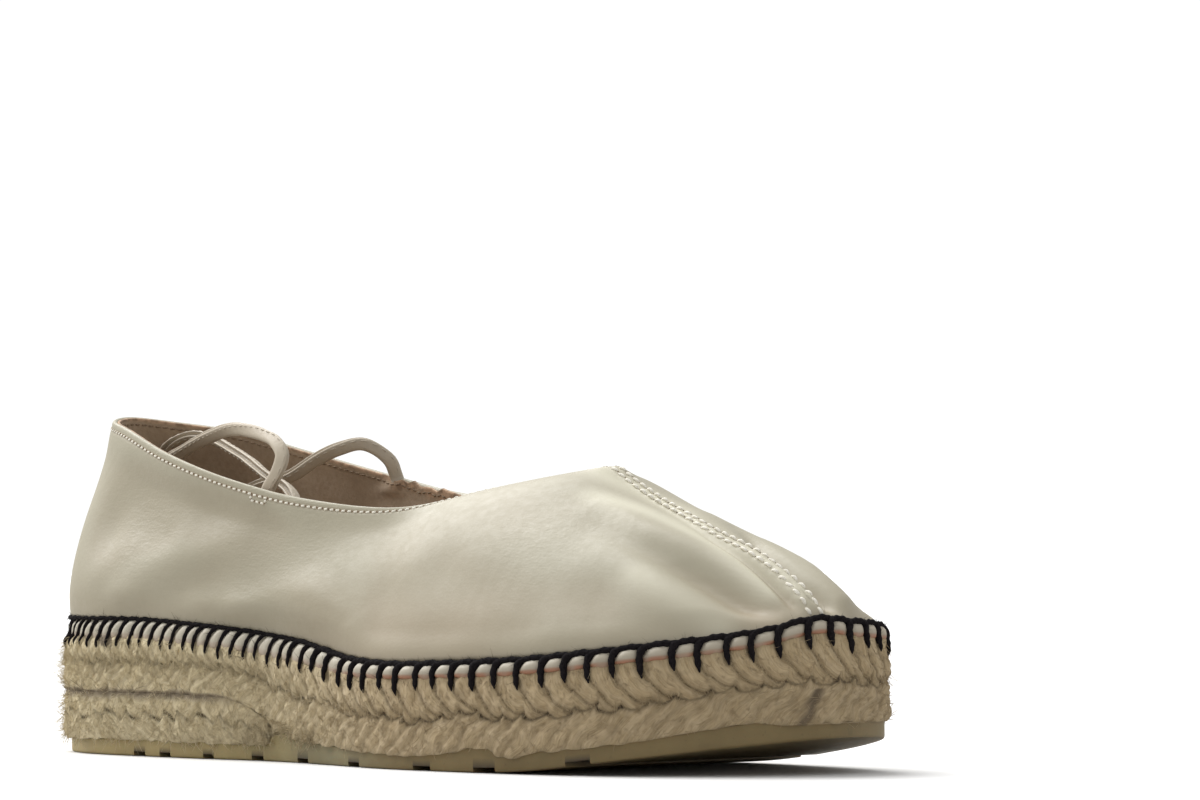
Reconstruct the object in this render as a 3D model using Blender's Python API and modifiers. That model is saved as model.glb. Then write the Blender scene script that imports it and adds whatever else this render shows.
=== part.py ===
"""Leather espadrille flat for the right foot: rubber outsole, jute heel wedge, jute sole, leather upper,
insole and two ankle ties. The toe points along +X, the outer side of the foot along -Y, and +Z is up.
The origin lies on the floor, under the middle of the sole."""

from collections import namedtuple

import bmesh
import bpy
import numpy as np

MM = 0.001

# Driving dimensions
SOLE_LENGTH = 250 * MM
BALL_WIDTH = 91.5 * MM
HEEL_STACK = 34 * MM  # floor to the edge stitch at the heel
HEEL_HEIGHT = 85 * MM  # floor to the collar at the back
INSTEP_HEIGHT = 71 * MM  # floor to the point of the throat
COLLAR_WIDTH = 56.5 * MM
TOE_SPRING = 8.7 * MM
HEEL_LEAN = 10.8 * MM  # the collar's back stands this far ahead of the sole's back
THROAT_ALONG = 0.709  # share of the length
THROAT_OFFSET = 4.5 * MM  # towards the inner side of the foot
MEDIAL_LIFT = 2 * MM  # the collar is this much higher on the inner side
MEDIAL_SHARE = 0.93  # the collar's inner half width, as a share of the outer one

# Thicknesses and fits
WALL = 1.8 * MM  # leather and lining
RUBBER = 4.2 * MM
WEDGE = 11 * MM
INSOLE = 2.5 * MM
HEM = 4.5 * MM  # the leather's edge below the edge stitch
SEAM_RAISE = 0.5 * MM
SEAM_HALF_WIDTH = 4.4 * MM
SEAM_STEP = 0.8 * MM
TIE_DIAMETER = 3.8 * MM
GAP = 0.3 * MM

# Insets from the sole's outline
EDGE_INSET = 2.3 * MM  # the crease that holds the edge stitch
RUBBER_INSET = 1.3 * MM
RUBBER_HEEL_INSET = 2.7 * MM
SHOULDER_INSET = 2.9 * MM  # the jute's rebate under the leather's edge
TOP_INSET = 4.8 * MM
INSOLE_INSET = 5.4 * MM
TOP_DROP = 1.9 * MM  # the jute's top below the edge stitch

# Mesh density
SIDE_COLUMNS = 40
THROAT_COLUMN = 26
WEDGE_COLUMNS = 20
SAMPLES = 24

# The sole's outline. along: share of the length, out: share of the ball width from the middle line
Edge = namedtuple("Edge", "along out")
LATERAL_SIDE = (
    Edge(0.030, 0.222),
    Edge(0.100, 0.333),
    Edge(0.190, 0.355),
    Edge(0.280, 0.364),
    Edge(0.380, 0.352),
    Edge(0.480, 0.410),
    Edge(0.580, 0.484),
    Edge(0.660, 0.501),
    Edge(0.760, 0.489),
    Edge(0.860, 0.425),
    Edge(0.940, 0.262),
    Edge(0.981, 0.110),
)
MEDIAL_SIDE = (
    Edge(0.030, 0.220),
    Edge(0.100, 0.328),
    Edge(0.190, 0.344),
    Edge(0.280, 0.324),
    Edge(0.380, 0.322),
    Edge(0.480, 0.362),
    Edge(0.580, 0.430),
    Edge(0.660, 0.482),
    Edge(0.760, 0.480),
    Edge(0.860, 0.438),
    Edge(0.935, 0.372),
    Edge(0.980, 0.285),
    Edge(0.999, 0.145),
)
TOE_POINT = Edge(0.998, 0.0)

# Heights along the sole. ground: share of the toe spring, edge: share of the heel stack,
# lift: share of the wedge's thickness by which the jute sole stands off the rubber
Height = namedtuple("Height", "along ground edge lift")
HEIGHTS = (
    Height(0.000, 0.00, 1.000, 1.00),
    Height(0.100, 0.00, 1.003, 1.00),
    Height(0.200, 0.00, 1.000, 1.00),
    Height(0.280, 0.00, 0.968, 0.985),
    Height(0.330, 0.00, 0.940, 0.92),
    Height(0.360, 0.00, 0.919, 0.74),
    Height(0.380, 0.00, 0.904, 0.50),
    Height(0.395, 0.00, 0.892, 0.16),
    Height(0.415, 0.00, 0.878, 0.02),
    Height(0.440, 0.00, 0.858, 0.00),
    Height(0.480, 0.00, 0.811, 0.00),
    Height(0.520, 0.00, 0.764, 0.00),
    Height(0.600, 0.00, 0.728, 0.00),
    Height(0.680, 0.00, 0.742, 0.00),
    Height(0.760, 0.05, 0.768, 0.00),
    Height(0.880, 0.45, 0.858, 0.00),
    Height(0.950, 0.76, 0.938, 0.00),
    Height(1.000, 1.00, 1.025, 0.00),
)

# The wedge's own top, rounded off at its front end. top: share of the wedge's thickness
WedgeTop = namedtuple("WedgeTop", "along top")
WEDGE_TOPS = (
    WedgeTop(0.000, 1.00),
    WedgeTop(0.200, 1.00),
    WedgeTop(0.280, 0.975),
    WedgeTop(0.320, 0.93),
    WedgeTop(0.345, 0.80),
    WedgeTop(0.362, 0.665),
    WedgeTop(0.378, 0.46),
    WedgeTop(0.386, 0.25),
)
WEDGE_END = WEDGE_TOPS[-1].along

# The collar, from the heel's back to the throat. share: of that distance,
# half: share of half the collar's width, height: share of the heel height, lift: share of the medial lift
Rim = namedtuple("Rim", "share half height lift")
COLLAR = (
    Rim(0.000, 0.000, 1.000, 0.0),
    Rim(0.035, 0.415, 0.986, 0.0),
    Rim(0.120, 0.680, 0.954, 0.3),
    Rim(0.250, 0.893, 0.878, 0.8),
    Rim(0.400, 1.000, 0.804, 1.0),
    Rim(0.570, 0.972, 0.741, 1.0),
    Rim(0.740, 0.850, 0.722, 1.0),
    Rim(0.880, 0.500, 0.776, 0.6),
)

# The vamp's ridge, from the throat to the toe's edge. drop: share of the fall between them
Ridge = namedtuple("Ridge", "share drop")
VAMP_RIDGE = (
    Ridge(0.00, 0.000),
    Ridge(0.10, 0.112),
    Ridge(0.20, 0.212),
    Ridge(0.40, 0.371),
    Ridge(0.55, 0.490),
    Ridge(0.68, 0.582),
    Ridge(0.78, 0.677),
    Ridge(0.88, 0.797),
    Ridge(0.95, 0.905),
    Ridge(1.00, 1.000),
)
RIDGE_END = 0.94  # where the toe's columns meet on the ridge
SEAM_SHIFT = 2.4 * MM  # the seam meets the edge this far to the outer side of the toe's point

# Rows of the upper's wall, as shares of its height below the seam's step
WALL_ROWS = (0.0, 0.09, 0.2, 0.32, 0.45, 0.58, 0.71, 0.84, 1.0)
HEEL_BULGE = 1.6 * MM
MOST_SEAM_SHARE = 0.3

# How full the vamp's curve is on each side. bulge: outwards above the edge stitch, upright: share of the
# wall's rise that starts upright there, level: share of its reach that stays level at the ridge,
# toe_from: columns past the throat where it starts to flatten towards the toe
Fullness = namedtuple("Fullness", "bulge upright level toe_from")
LATERAL_VAMP = Fullness(2.2 * MM, 0.56, 0.46, 4.0)
MEDIAL_VAMP = Fullness(1.2 * MM, 0.50, 0.46, 6.4)
INSTEP_HUMP = 4 * MM  # the instep's inner side stands above the ridge by about half of this
TOE_RISE = 1.2 * MM  # the flat toe starts off the edge stitch this much above a straight line

# The leather's folded edge below the edge stitch. inset: from the outline, drop: share of the hem
HemRow = namedtuple("HemRow", "inset drop")
HEM_ROWS = (
    HemRow(0.6 * MM, 1.00),
    HemRow(0.25 * MM, 0.62),
    HemRow(0.75 * MM, 0.25),
)

# The jute wall in two ropes with a groove between. share: of the height from its foot to the hem
WallRow = namedtuple("WallRow", "share inset")
JUTE_ROWS = (
    WallRow(0.00, 1.7 * MM),
    WallRow(0.10, 0.5 * MM),
    WallRow(0.27, 0.0 * MM),
    WallRow(0.44, 0.5 * MM),
    WallRow(0.52, 1.2 * MM),
    WallRow(0.60, 0.5 * MM),
    WallRow(0.78, 0.1 * MM),
    WallRow(0.94, 0.4 * MM),
    WallRow(1.00, 0.9 * MM),
)
WEDGE_ROWS = (
    WallRow(0.00, 1.7 * MM),
    WallRow(0.15, 0.6 * MM),
    WallRow(0.45, 0.2 * MM),
    WallRow(0.60, 0.3 * MM),
    WallRow(0.87, 0.7 * MM),
    WallRow(1.00, 1.6 * MM),
)

# Grooves across the tread. width: along the sole
Groove = namedtuple("Groove", "along width")
GROOVES = (
    Groove(0.1973, 4.6 * MM),
    Groove(0.2376, 4.2 * MM),
    Groove(0.3009, 3.6 * MM),
    Groove(0.3676, 4.3 * MM),
    Groove(0.4448, 5.0 * MM),
    Groove(0.5430, 5.2 * MM),
    Groove(0.6492, 5.9 * MM),
    Groove(0.7294, 6.6 * MM),
    Groove(0.8321, 6.1 * MM),
)
GROOVE_DEPTH = 1.1 * MM
GROOVE_REACH = 120 * MM

# Routes of the ankle ties, from the rim of the collar to their free ends.
# back: from the heel's back, out: towards the inner side of the foot, up: from the floor
Place = namedtuple("Place", "back out up")
TIE_ROUTES = {
    "tie_lateral": (
        Place(87.4 * MM, -24.4 * MM, 63.6 * MM),
        Place(88.2 * MM, -23.7 * MM, 66.5 * MM),
        Place(90.6 * MM, -23.0 * MM, 70.5 * MM),
        Place(91.2 * MM, -22.0 * MM, 74.4 * MM),
        Place(88.0 * MM, -21.0 * MM, 77.6 * MM),
        Place(81.5 * MM, -19.3 * MM, 79.6 * MM),
        Place(73.0 * MM, -17.0 * MM, 81.0 * MM),
        Place(64.0 * MM, -14.5 * MM, 81.3 * MM),
        Place(50.0 * MM, -10.0 * MM, 79.3 * MM),
        Place(40.0 * MM, -7.5 * MM, 76.7 * MM),
        Place(30.0 * MM, -7.5 * MM, 72.5 * MM),
        Place(21.5 * MM, -7.8 * MM, 67.8 * MM),
        Place(16.4 * MM, -6.0 * MM, 65.6 * MM),
        Place(12.9 * MM, -0.8 * MM, 66.2 * MM),
        Place(12.7 * MM, 3.8 * MM, 70.6 * MM),
        Place(15.0 * MM, 5.2 * MM, 75.0 * MM),
        Place(19.8 * MM, 4.9 * MM, 78.2 * MM),
        Place(29.0 * MM, 5.2 * MM, 80.4 * MM),
        Place(38.9 * MM, 4.0 * MM, 79.0 * MM),
        Place(48.0 * MM, 1.3 * MM, 76.6 * MM),
        Place(57.0 * MM, -1.6 * MM, 73.9 * MM),
        Place(69.0 * MM, -6.0 * MM, 69.6 * MM),
        Place(81.0 * MM, -9.5 * MM, 65.5 * MM),
        Place(89.0 * MM, -15.0 * MM, 58.0 * MM),
        Place(91.0 * MM, -20.0 * MM, 49.0 * MM),
        Place(85.0 * MM, -22.0 * MM, 40.5 * MM),
        Place(74.0 * MM, -21.0 * MM, 36.6 * MM),
        Place(62.0 * MM, -20.0 * MM, 36.8 * MM),
    ),
    "tie_medial": (
        Place(83.0 * MM, 25.0 * MM, 70.4 * MM),
        Place(82.6 * MM, 23.2 * MM, 74.0 * MM),
        Place(78.0 * MM, 18.6 * MM, 78.0 * MM),
        Place(72.0 * MM, 15.5 * MM, 76.8 * MM),
        Place(64.5 * MM, 14.5 * MM, 74.0 * MM),
        Place(57.0 * MM, 13.0 * MM, 70.0 * MM),
        Place(46.5 * MM, 10.3 * MM, 67.0 * MM),
        Place(37.0 * MM, 6.0 * MM, 61.5 * MM),
        Place(29.5 * MM, 1.0 * MM, 54.0 * MM),
        Place(26.0 * MM, -5.0 * MM, 45.5 * MM),
        Place(28.5 * MM, -10.0 * MM, 39.3 * MM),
        Place(37.0 * MM, -11.5 * MM, 37.3 * MM),
        Place(48.0 * MM, -9.0 * MM, 37.2 * MM),
        Place(60.0 * MM, -4.0 * MM, 37.0 * MM),
        Place(72.0 * MM, 0.0 * MM, 36.8 * MM),
        Place(83.0 * MM, 1.0 * MM, 36.6 * MM),
    ),
}
TIE_STEP = 2.4 * TIE_DIAMETER

Finish = namedtuple("Finish", "red green blue roughness")
FINISHES = {
    "outsole": Finish(0.42, 0.37, 0.25, 0.55),
    "heel_wedge": Finish(0.46, 0.37, 0.23, 0.95),
    "jute_sole": Finish(0.46, 0.37, 0.23, 0.95),
    "upper": Finish(0.56, 0.52, 0.43, 0.5),
    "insole": Finish(0.30, 0.24, 0.17, 0.8),
    "tie_lateral": Finish(0.52, 0.47, 0.39, 0.5),
    "tie_medial": Finish(0.52, 0.47, 0.39, 0.5),
}


def through(knots, values, at):
    """Smooth values at the places asked for, through the given knots."""
    knots, values, at = np.asarray(knots), np.asarray(values), np.asarray(at)
    slopes = np.gradient(values, knots)
    at = np.clip(at, knots[0], knots[-1])
    span = np.clip(np.searchsorted(knots, at, side="right") - 1, 0, len(knots) - 2)
    step = knots[span + 1] - knots[span]
    t = (at - knots[span]) / step
    low, high = values[span], values[span + 1]
    rise = (1 + 2 * t) * (1 - t) ** 2 * low + t**2 * (3 - 2 * t) * high
    return rise + step * (t * (1 - t) ** 2 * slopes[span] - t**2 * (1 - t) * slopes[span + 1])


def column(table, name):
    return np.array([getattr(row, name) for row in table])


def along_of(x):
    return np.asarray(x) / SOLE_LENGTH


def ground(x):
    return TOE_SPRING * through(column(HEIGHTS, "along"), column(HEIGHTS, "ground"), along_of(x))


def edge(x):
    return HEEL_STACK * through(column(HEIGHTS, "along"), column(HEIGHTS, "edge"), along_of(x))


def rubber_top(x):
    return ground(x) + RUBBER


def jute_foot(x):
    lift = through(column(HEIGHTS, "along"), column(HEIGHTS, "lift"), along_of(x))
    return rubber_top(x) + GAP + (WEDGE + GAP) * np.clip(lift, 0, None)


def wedge_top(x):
    return rubber_top(x) + WEDGE * through(column(WEDGE_TOPS, "along"), column(WEDGE_TOPS, "top"), along_of(x))


def smooth_path(points):
    """A dense smooth path through the points, with SAMPLES steps from each to the next."""
    points = np.asarray(points, float)
    chords = np.sqrt(np.linalg.norm(np.diff(points, axis=0), axis=1))
    knots = np.concatenate([[0], np.cumsum(chords)])
    places = np.concatenate([np.linspace(a, b, SAMPLES, endpoint=False) for a, b in zip(knots, knots[1:])])
    places = np.append(places, knots[-1])
    return np.column_stack([through(knots, points[:, axis], places) for axis in range(points.shape[1])])


def spread(path, count):
    """count + 1 points evenly along a path."""
    lengths = np.concatenate([[0], np.cumsum(np.linalg.norm(np.diff(path, axis=0), axis=1))])
    places = np.linspace(0, lengths[-1], count + 1)
    return np.column_stack([np.interp(places, lengths, path[:, axis]) for axis in range(path.shape[1])])


def sole_sides():
    """The outline's outer and inner side, each a dense path from the heel's back to the toe."""
    lateral = [(row.along * SOLE_LENGTH, -row.out * BALL_WIDTH) for row in LATERAL_SIDE]
    medial = [(row.along * SOLE_LENGTH, row.out * BALL_WIDTH) for row in MEDIAL_SIDE]
    heel = [(0.0, 0.0)]
    toe = [(TOE_POINT.along * SOLE_LENGTH, TOE_POINT.out * BALL_WIDTH)]
    # Two rows past the heel on each end keep the heel round
    loop = medial[1::-1] + heel + lateral + toe + medial[::-1] + heel + lateral[:2]
    path = smooth_path(loop)
    first = 2 * SAMPLES
    middle = first + (len(lateral) + 1) * SAMPLES
    last = middle + (len(medial) + 1) * SAMPLES
    return path[first : middle + 1], path[middle : last + 1][::-1]


def ring_of(lateral, medial):
    """One loop from the heel along the outer side and back along the inner side."""
    shared_toe = np.allclose(lateral[-1], medial[-1])
    return np.vstack([lateral, medial[-2 if shared_toe else -1 : 0 : -1]])


def inset_plan(ring, inset):
    """The loop moved inwards by the inset, seen from above."""
    ahead = np.roll(ring, -1, axis=0)[:, :2] - np.roll(ring, 1, axis=0)[:, :2]
    inward = np.column_stack([-ahead[:, 1], ahead[:, 0]])
    inward /= np.linalg.norm(inward, axis=1)[:, None]
    return ring[:, :2] + inset * inward


def raised(plan, height):
    """A loop seen from above, lifted to a height that depends on its place along the sole."""
    return np.column_stack([plan, height(plan[:, 0])])


def side_faces(rings, size):
    """Quads between each loop and the next one up."""
    faces = []
    for row in range(rings - 1):
        for i in range(size):
            j = (i + 1) % size
            faces.append((row * size + i, row * size + j, (row + 1) * size + j, (row + 1) * size + i))
    return faces


def cap_faces(size, start, upwards):
    """Strips across a loop, between its outer and inner side."""
    faces = []
    for i in range(size // 2):
        strip = [i, i + 1, size - i - 1, (size - i) % size]
        strip = [start + k for k in dict.fromkeys(strip)]
        if len(strip) > 2:
            faces.append(strip if upwards else strip[::-1])
    return faces


def add_object(name, mesh, collection):
    obj = bpy.data.objects.new(name, mesh)
    collection.objects.link(obj)
    return obj


def mesh_of(name, points, faces):
    mesh = bpy.data.meshes.new(name)
    mesh.from_pydata([tuple(p) for p in points], [], faces)
    mesh.validate()
    return mesh


def loft(name, rings, collection):
    """A solid through the loops, from the lowest to the highest, closed by strips."""
    size = len(rings[0])
    faces = side_faces(len(rings), size)
    faces += cap_faces(size, 0, upwards=False)
    faces += cap_faces(size, (len(rings) - 1) * size, upwards=True)
    obj = add_object(name, mesh_of(name, np.vstack(rings), faces), collection)
    obj.data.shade_smooth()
    obj.data.set_sharp_from_angle(angle=np.radians(40))
    return obj


def walled_rings(ring, rows, foot, head):
    """Loops up a wall whose inset follows the rows, between two heights along the sole."""
    rings = []
    for row in rows:
        plan = inset_plan(ring, row.inset)
        x = plan[:, 0]
        rings.append(np.column_stack([plan, foot(x) + row.share * (head(x) - foot(x))]))
    return rings


def make_outsole(ring, parts, cutters):
    bevel = 0.6 * MM
    at_heel = 1 - ease(ring[:, :1], 0.028 * SOLE_LENGTH, 0.22 * SOLE_LENGTH)
    inset = RUBBER_INSET + (RUBBER_HEEL_INSET - RUBBER_INSET) * at_heel
    rings = [
        raised(inset_plan(ring, inset + bevel), ground),
        raised(inset_plan(ring, inset), lambda x: ground(x) + bevel),
        raised(inset_plan(ring, inset), rubber_top),
    ]
    outsole = loft("outsole", rings, parts)
    grooves = bmesh.new()
    for groove in GROOVES:
        x = groove.along * SOLE_LENGTH
        cube = bmesh.ops.create_cube(grooves, size=1)["verts"]
        bmesh.ops.scale(grooves, vec=(groove.width, GROOVE_REACH, 2 * GROOVE_DEPTH), verts=cube)
        bmesh.ops.translate(grooves, vec=(x, 0, float(ground(x))), verts=cube)
    mesh = bpy.data.meshes.new("tread_grooves")
    grooves.to_mesh(mesh)
    grooves.free()
    cutter = add_object("tread_grooves", mesh, cutters)
    cutter.hide_render = True
    cutter.display_type = "WIRE"
    cut = outsole.modifiers.new("grooves", "BOOLEAN")
    cut.operation = "DIFFERENCE"
    cut.object = cutter
    return outsole


def make_heel_wedge(lateral, medial, parts):
    end = WEDGE_END * SOLE_LENGTH
    sides = [spread(side[side[:, 0] <= end], WEDGE_COLUMNS) for side in (lateral, medial)]
    for side in sides:
        side[-1, 0] = end
    rings = walled_rings(ring_of(*sides), WEDGE_ROWS, lambda x: rubber_top(x) + GAP, wedge_top)
    return loft("heel_wedge", rings, parts)


def make_jute_sole(ring, parts):
    def under_hem(x):
        return edge(x) - HEM - GAP

    rings = walled_rings(ring, JUTE_ROWS, jute_foot, under_hem)
    rings.append(raised(inset_plan(ring, SHOULDER_INSET), under_hem))
    rings.append(raised(inset_plan(ring, SHOULDER_INSET), lambda x: edge(x) - 0.7 * HEM))
    rings.append(raised(inset_plan(ring, TOP_INSET), lambda x: edge(x) - TOP_DROP))
    return loft("jute_sole", rings, parts)


def make_insole(ring, parts):
    foot = GAP - TOP_DROP
    round_off = 0.6 * MM
    rings = [
        raised(inset_plan(ring, INSOLE_INSET), lambda x: edge(x) + foot),
        raised(inset_plan(ring, INSOLE_INSET), lambda x: edge(x) + foot + INSOLE - round_off),
        raised(inset_plan(ring, INSOLE_INSET + round_off), lambda x: edge(x) + foot + INSOLE),
    ]
    return loft("insole", rings, parts)


def collar_sides():
    """The collar's outer and inner rim, each a dense path from the heel's back to the throat."""
    throat = np.array([THROAT_ALONG * SOLE_LENGTH, THROAT_OFFSET, INSTEP_HEIGHT])

    def rim(sign, share, lift):
        return [
            (
                HEEL_LEAN + row.share * (throat[0] - HEEL_LEAN),
                sign * share * row.half * COLLAR_WIDTH / 2,
                row.height * HEEL_HEIGHT + row.lift * lift,
            )
            for row in COLLAR
        ]

    lateral = rim(-1, 1.0, 0.0) + [tuple(throat)]
    medial = rim(1, MEDIAL_SHARE, MEDIAL_LIFT) + [tuple(throat)]
    path = smooth_path(lateral[::-1] + medial[1:])
    heel = (len(lateral) - 1) * SAMPLES
    return path[: heel + 1][::-1], path[heel:]


def vamp_ridge(toe):
    """The vamp's middle line from the throat towards the toe's edge, and its fall along X."""
    throat = np.array([THROAT_ALONG * SOLE_LENGTH, THROAT_OFFSET, INSTEP_HEIGHT])
    shares = np.linspace(0, RIDGE_END, SIDE_COLUMNS - THROAT_COLUMN + 1)
    drop = through(column(VAMP_RIDGE, "share"), column(VAMP_RIDGE, "drop"), shares)
    line = throat + shares[:, None] * (toe - throat)
    line[:, 2] = throat[2] + drop * (toe[2] - throat[2])
    return line, np.gradient(line[:, 2], line[:, 0])


def ease(value, start, end):
    """A smooth step from 0 to 1 between two places."""
    t = np.clip((value - start) / (end - start), 0, 1)
    return t * t * (3 - 2 * t)


def upper_column(foot, top, outward, fall, k, on_medial):
    """One wall curve from the edge stitch to the rim or ridge, as Bezier points."""
    on_vamp = ease(k, 0.45 * THROAT_COLUMN, THROAT_COLUMN)
    vamp = MEDIAL_VAMP if on_medial else LATERAL_VAMP
    on_toe = ease(k, THROAT_COLUMN + vamp.toe_from, SIDE_COLUMNS)
    hump = on_medial * ease(k, 0.6 * THROAT_COLUMN, THROAT_COLUMN) * (1 - on_toe) * INSTEP_HUMP
    rise = top[2] - foot[2]
    up = np.array([0, 0, 1.0])
    side = np.array([*outward, 0.0])
    reach = foot - top
    level = np.array([reach[0], reach[1], fall * reach[0]])
    collar_low = foot + 0.36 * rise * up + HEEL_BULGE * side
    collar_high = top + 0.33 * reach + HEEL_BULGE * side
    vamp_low = foot + vamp.upright * rise * up + vamp.bulge * side
    vamp_high = top + vamp.level * level + hump * up
    vamp_low += on_toe * (foot - reach / 3 + TOE_RISE * up - vamp_low)
    vamp_high += on_toe * (top + reach / 3 - vamp_high)
    low = collar_low + on_vamp * (vamp_low - collar_low)
    high = collar_high + on_vamp * (vamp_high - collar_high)
    return foot, low, high, top


def bezier(points, t):
    a, b, c, d = points
    t = np.asarray(t)[:, None]
    return (1 - t) ** 3 * a + 3 * t * (1 - t) ** 2 * b + 3 * t**2 * (1 - t) * c + t**3 * d


def upper_rows(ring):
    """The upper's outer surface: loops from the hem up to the rim and the ridge."""
    size = len(ring)
    crease = raised(inset_plan(ring, EDGE_INSET), edge)
    outward = inset_plan(ring, 0) - inset_plan(ring, 1.0)
    lateral_rim, medial_rim = collar_sides()
    toe, beside = crease[SIDE_COLUMNS], crease[SIDE_COLUMNS - 1]
    ridge, falls = vamp_ridge(toe + SEAM_SHIFT * (beside - toe) / np.linalg.norm(beside - toe))
    rims = [spread(lateral_rim, THROAT_COLUMN), spread(medial_rim, THROAT_COLUMN)]
    columns = []
    for i in range(size):
        on_medial = i > SIDE_COLUMNS
        k = size - i if on_medial else i
        past_throat = k - THROAT_COLUMN
        if past_throat < 0:
            top, fall = rims[on_medial][k], falls[0]
        else:
            top, fall = ridge[past_throat], falls[past_throat]
        curve = upper_column(crease[i], top, outward[i], fall, k, on_medial)
        length = np.linalg.norm(top - crease[i])
        step = 1 - min(SEAM_HALF_WIDTH / length, MOST_SEAM_SHARE)
        onto_seam = step + min(SEAM_STEP / length, (1 - step) / 3)
        wall = bezier(curve, [*(step * np.array(WALL_ROWS)), onto_seam, 1.0])
        wall[-2:, 2] += SEAM_RAISE * (past_throat >= 0)
        hem = [
            (*inset_plan(ring, row.inset)[i], edge(ring[i, 0]) - row.drop * HEM) for row in HEM_ROWS
        ]
        columns.append(np.vstack([hem, wall]))
    return np.stack(columns, axis=1)


def make_upper(ring, parts):
    """A leather shell: the two sides meet along the vamp's ridge and stay apart round the collar."""
    rows = upper_rows(ring)
    faces = side_faces(len(rows), len(ring))
    mesh = mesh_of("upper", rows.reshape(-1, 3), faces)
    shell = bmesh.new()
    shell.from_mesh(mesh)
    bmesh.ops.remove_doubles(shell, verts=shell.verts, dist=0.01 * MM)
    shell.to_mesh(mesh)
    shell.free()
    upper = add_object("upper", mesh, parts)
    upper.data.shade_smooth()
    wall = upper.modifiers.new("wall", "SOLIDIFY")
    wall.thickness = WALL
    wall.offset = -1
    wall.use_even_offset = True
    return upper


def make_tie(name, parts):
    """A round cord along its route, closed at both ends."""
    route = smooth_path(TIE_ROUTES[name])
    length = np.linalg.norm(np.diff(route, axis=0), axis=1).sum()
    points = spread(route, int(round(length / TIE_STEP)))
    curve = bpy.data.curves.new(name, "CURVE")
    curve.dimensions = "3D"
    curve.bevel_depth = TIE_DIAMETER / 2
    curve.bevel_resolution = 2
    curve.use_fill_caps = True
    line = curve.splines.new("POLY")
    line.points.add(len(points) - 1)
    for place, point in zip(line.points, points):
        place.co = (*point, 1)
    return add_object(name, curve, parts)


def finish(obj):
    look = FINISHES[obj.name]
    material = bpy.data.materials.new(obj.name)
    material.use_nodes = True
    shader = material.node_tree.nodes["Principled BSDF"]
    shader.inputs["Base Color"].default_value = (look.red, look.green, look.blue, 1)
    shader.inputs["Roughness"].default_value = look.roughness
    shader.inputs["Metallic"].default_value = 0
    obj.data.materials.append(material)


def new_collection(name):
    collection = bpy.data.collections.new(name)
    bpy.context.scene.collection.children.link(collection)
    return collection


def main():
    for obj in list(bpy.data.objects):
        bpy.data.objects.remove(obj, do_unlink=True)
    parts = new_collection("espadrille_flat")
    cutters = new_collection("cutters")
    cutters.hide_render = True
    lateral, medial = sole_sides()
    ring = ring_of(spread(lateral, SIDE_COLUMNS), spread(medial, SIDE_COLUMNS))
    pieces = [
        make_outsole(ring, parts, cutters),
        make_heel_wedge(lateral, medial, parts),
        make_jute_sole(ring, parts),
        make_upper(ring, parts),
        make_insole(ring, parts),
        make_tie("tie_lateral", parts),
        make_tie("tie_medial", parts),
    ]
    middle = (ring.min(axis=0) + ring.max(axis=0)) / 2
    base = bpy.data.objects.new("shoe", None)
    parts.objects.link(base)
    base.location = (-middle[0], -middle[1], 0)
    for obj in [*pieces, *cutters.objects]:
        obj.parent = base
    for obj in pieces:
        finish(obj)


main()
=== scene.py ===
import math

import bmesh
import bpy
import numpy as np
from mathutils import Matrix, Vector
from mathutils.bvhtree import BVHTree


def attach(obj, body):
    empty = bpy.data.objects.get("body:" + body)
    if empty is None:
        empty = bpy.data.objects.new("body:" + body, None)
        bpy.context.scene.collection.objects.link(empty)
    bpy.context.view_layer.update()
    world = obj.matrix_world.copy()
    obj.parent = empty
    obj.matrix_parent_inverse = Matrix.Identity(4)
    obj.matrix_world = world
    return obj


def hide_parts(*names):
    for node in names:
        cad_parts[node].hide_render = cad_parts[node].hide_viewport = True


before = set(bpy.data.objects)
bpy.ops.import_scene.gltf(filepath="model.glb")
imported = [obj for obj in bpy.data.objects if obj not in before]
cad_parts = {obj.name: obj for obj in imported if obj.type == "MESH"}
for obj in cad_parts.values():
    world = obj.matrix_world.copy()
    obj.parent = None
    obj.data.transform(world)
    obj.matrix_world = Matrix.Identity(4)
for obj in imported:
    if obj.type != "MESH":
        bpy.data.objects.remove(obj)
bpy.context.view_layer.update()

mm = 0.001
pathSteps = 24  # places between two points of a path
rng = np.random.default_rng(11)

# sizes of the shoe, the same as the solids'
shoe = {
    "length": 250 * mm,
    "ballWidth": 91.5 * mm,
    "heelStack": 34 * mm,  # floor to the edge stitch at the heel
    "heelHeight": 85 * mm,
    "instepHeight": 71 * mm,
    "collarWidth": 56.5 * mm,
    "toeSpring": 8.7 * mm,
    "heelLean": 10.8 * mm,
    "throatAlong": 0.709,
    "throatOut": 4.5 * mm,
    "throatShare": 0.65,  # of the way along each side where the collar ends and the seam starts
    "medialLift": 2 * mm,
    "medialShare": 0.93,
    "ridgeEnd": 0.94,
    "seamShift": 2.4 * mm,  # the seam meets the edge this far to the outer side of the toe's point
    "rubber": 4.2 * mm,
    "wedge": 11 * mm,
    "hem": 4.5 * mm,
    "edgeInset": 2.3 * mm,
    "gap": 0.3 * mm,
    "toeLift": 1.3 * mm,  # the seam pulls the edge up at the toe
    "toeLiftReach": 9 * mm,
    "toeLiftAt": 3 * mm,  # to the outer side of the toe's point
}

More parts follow.
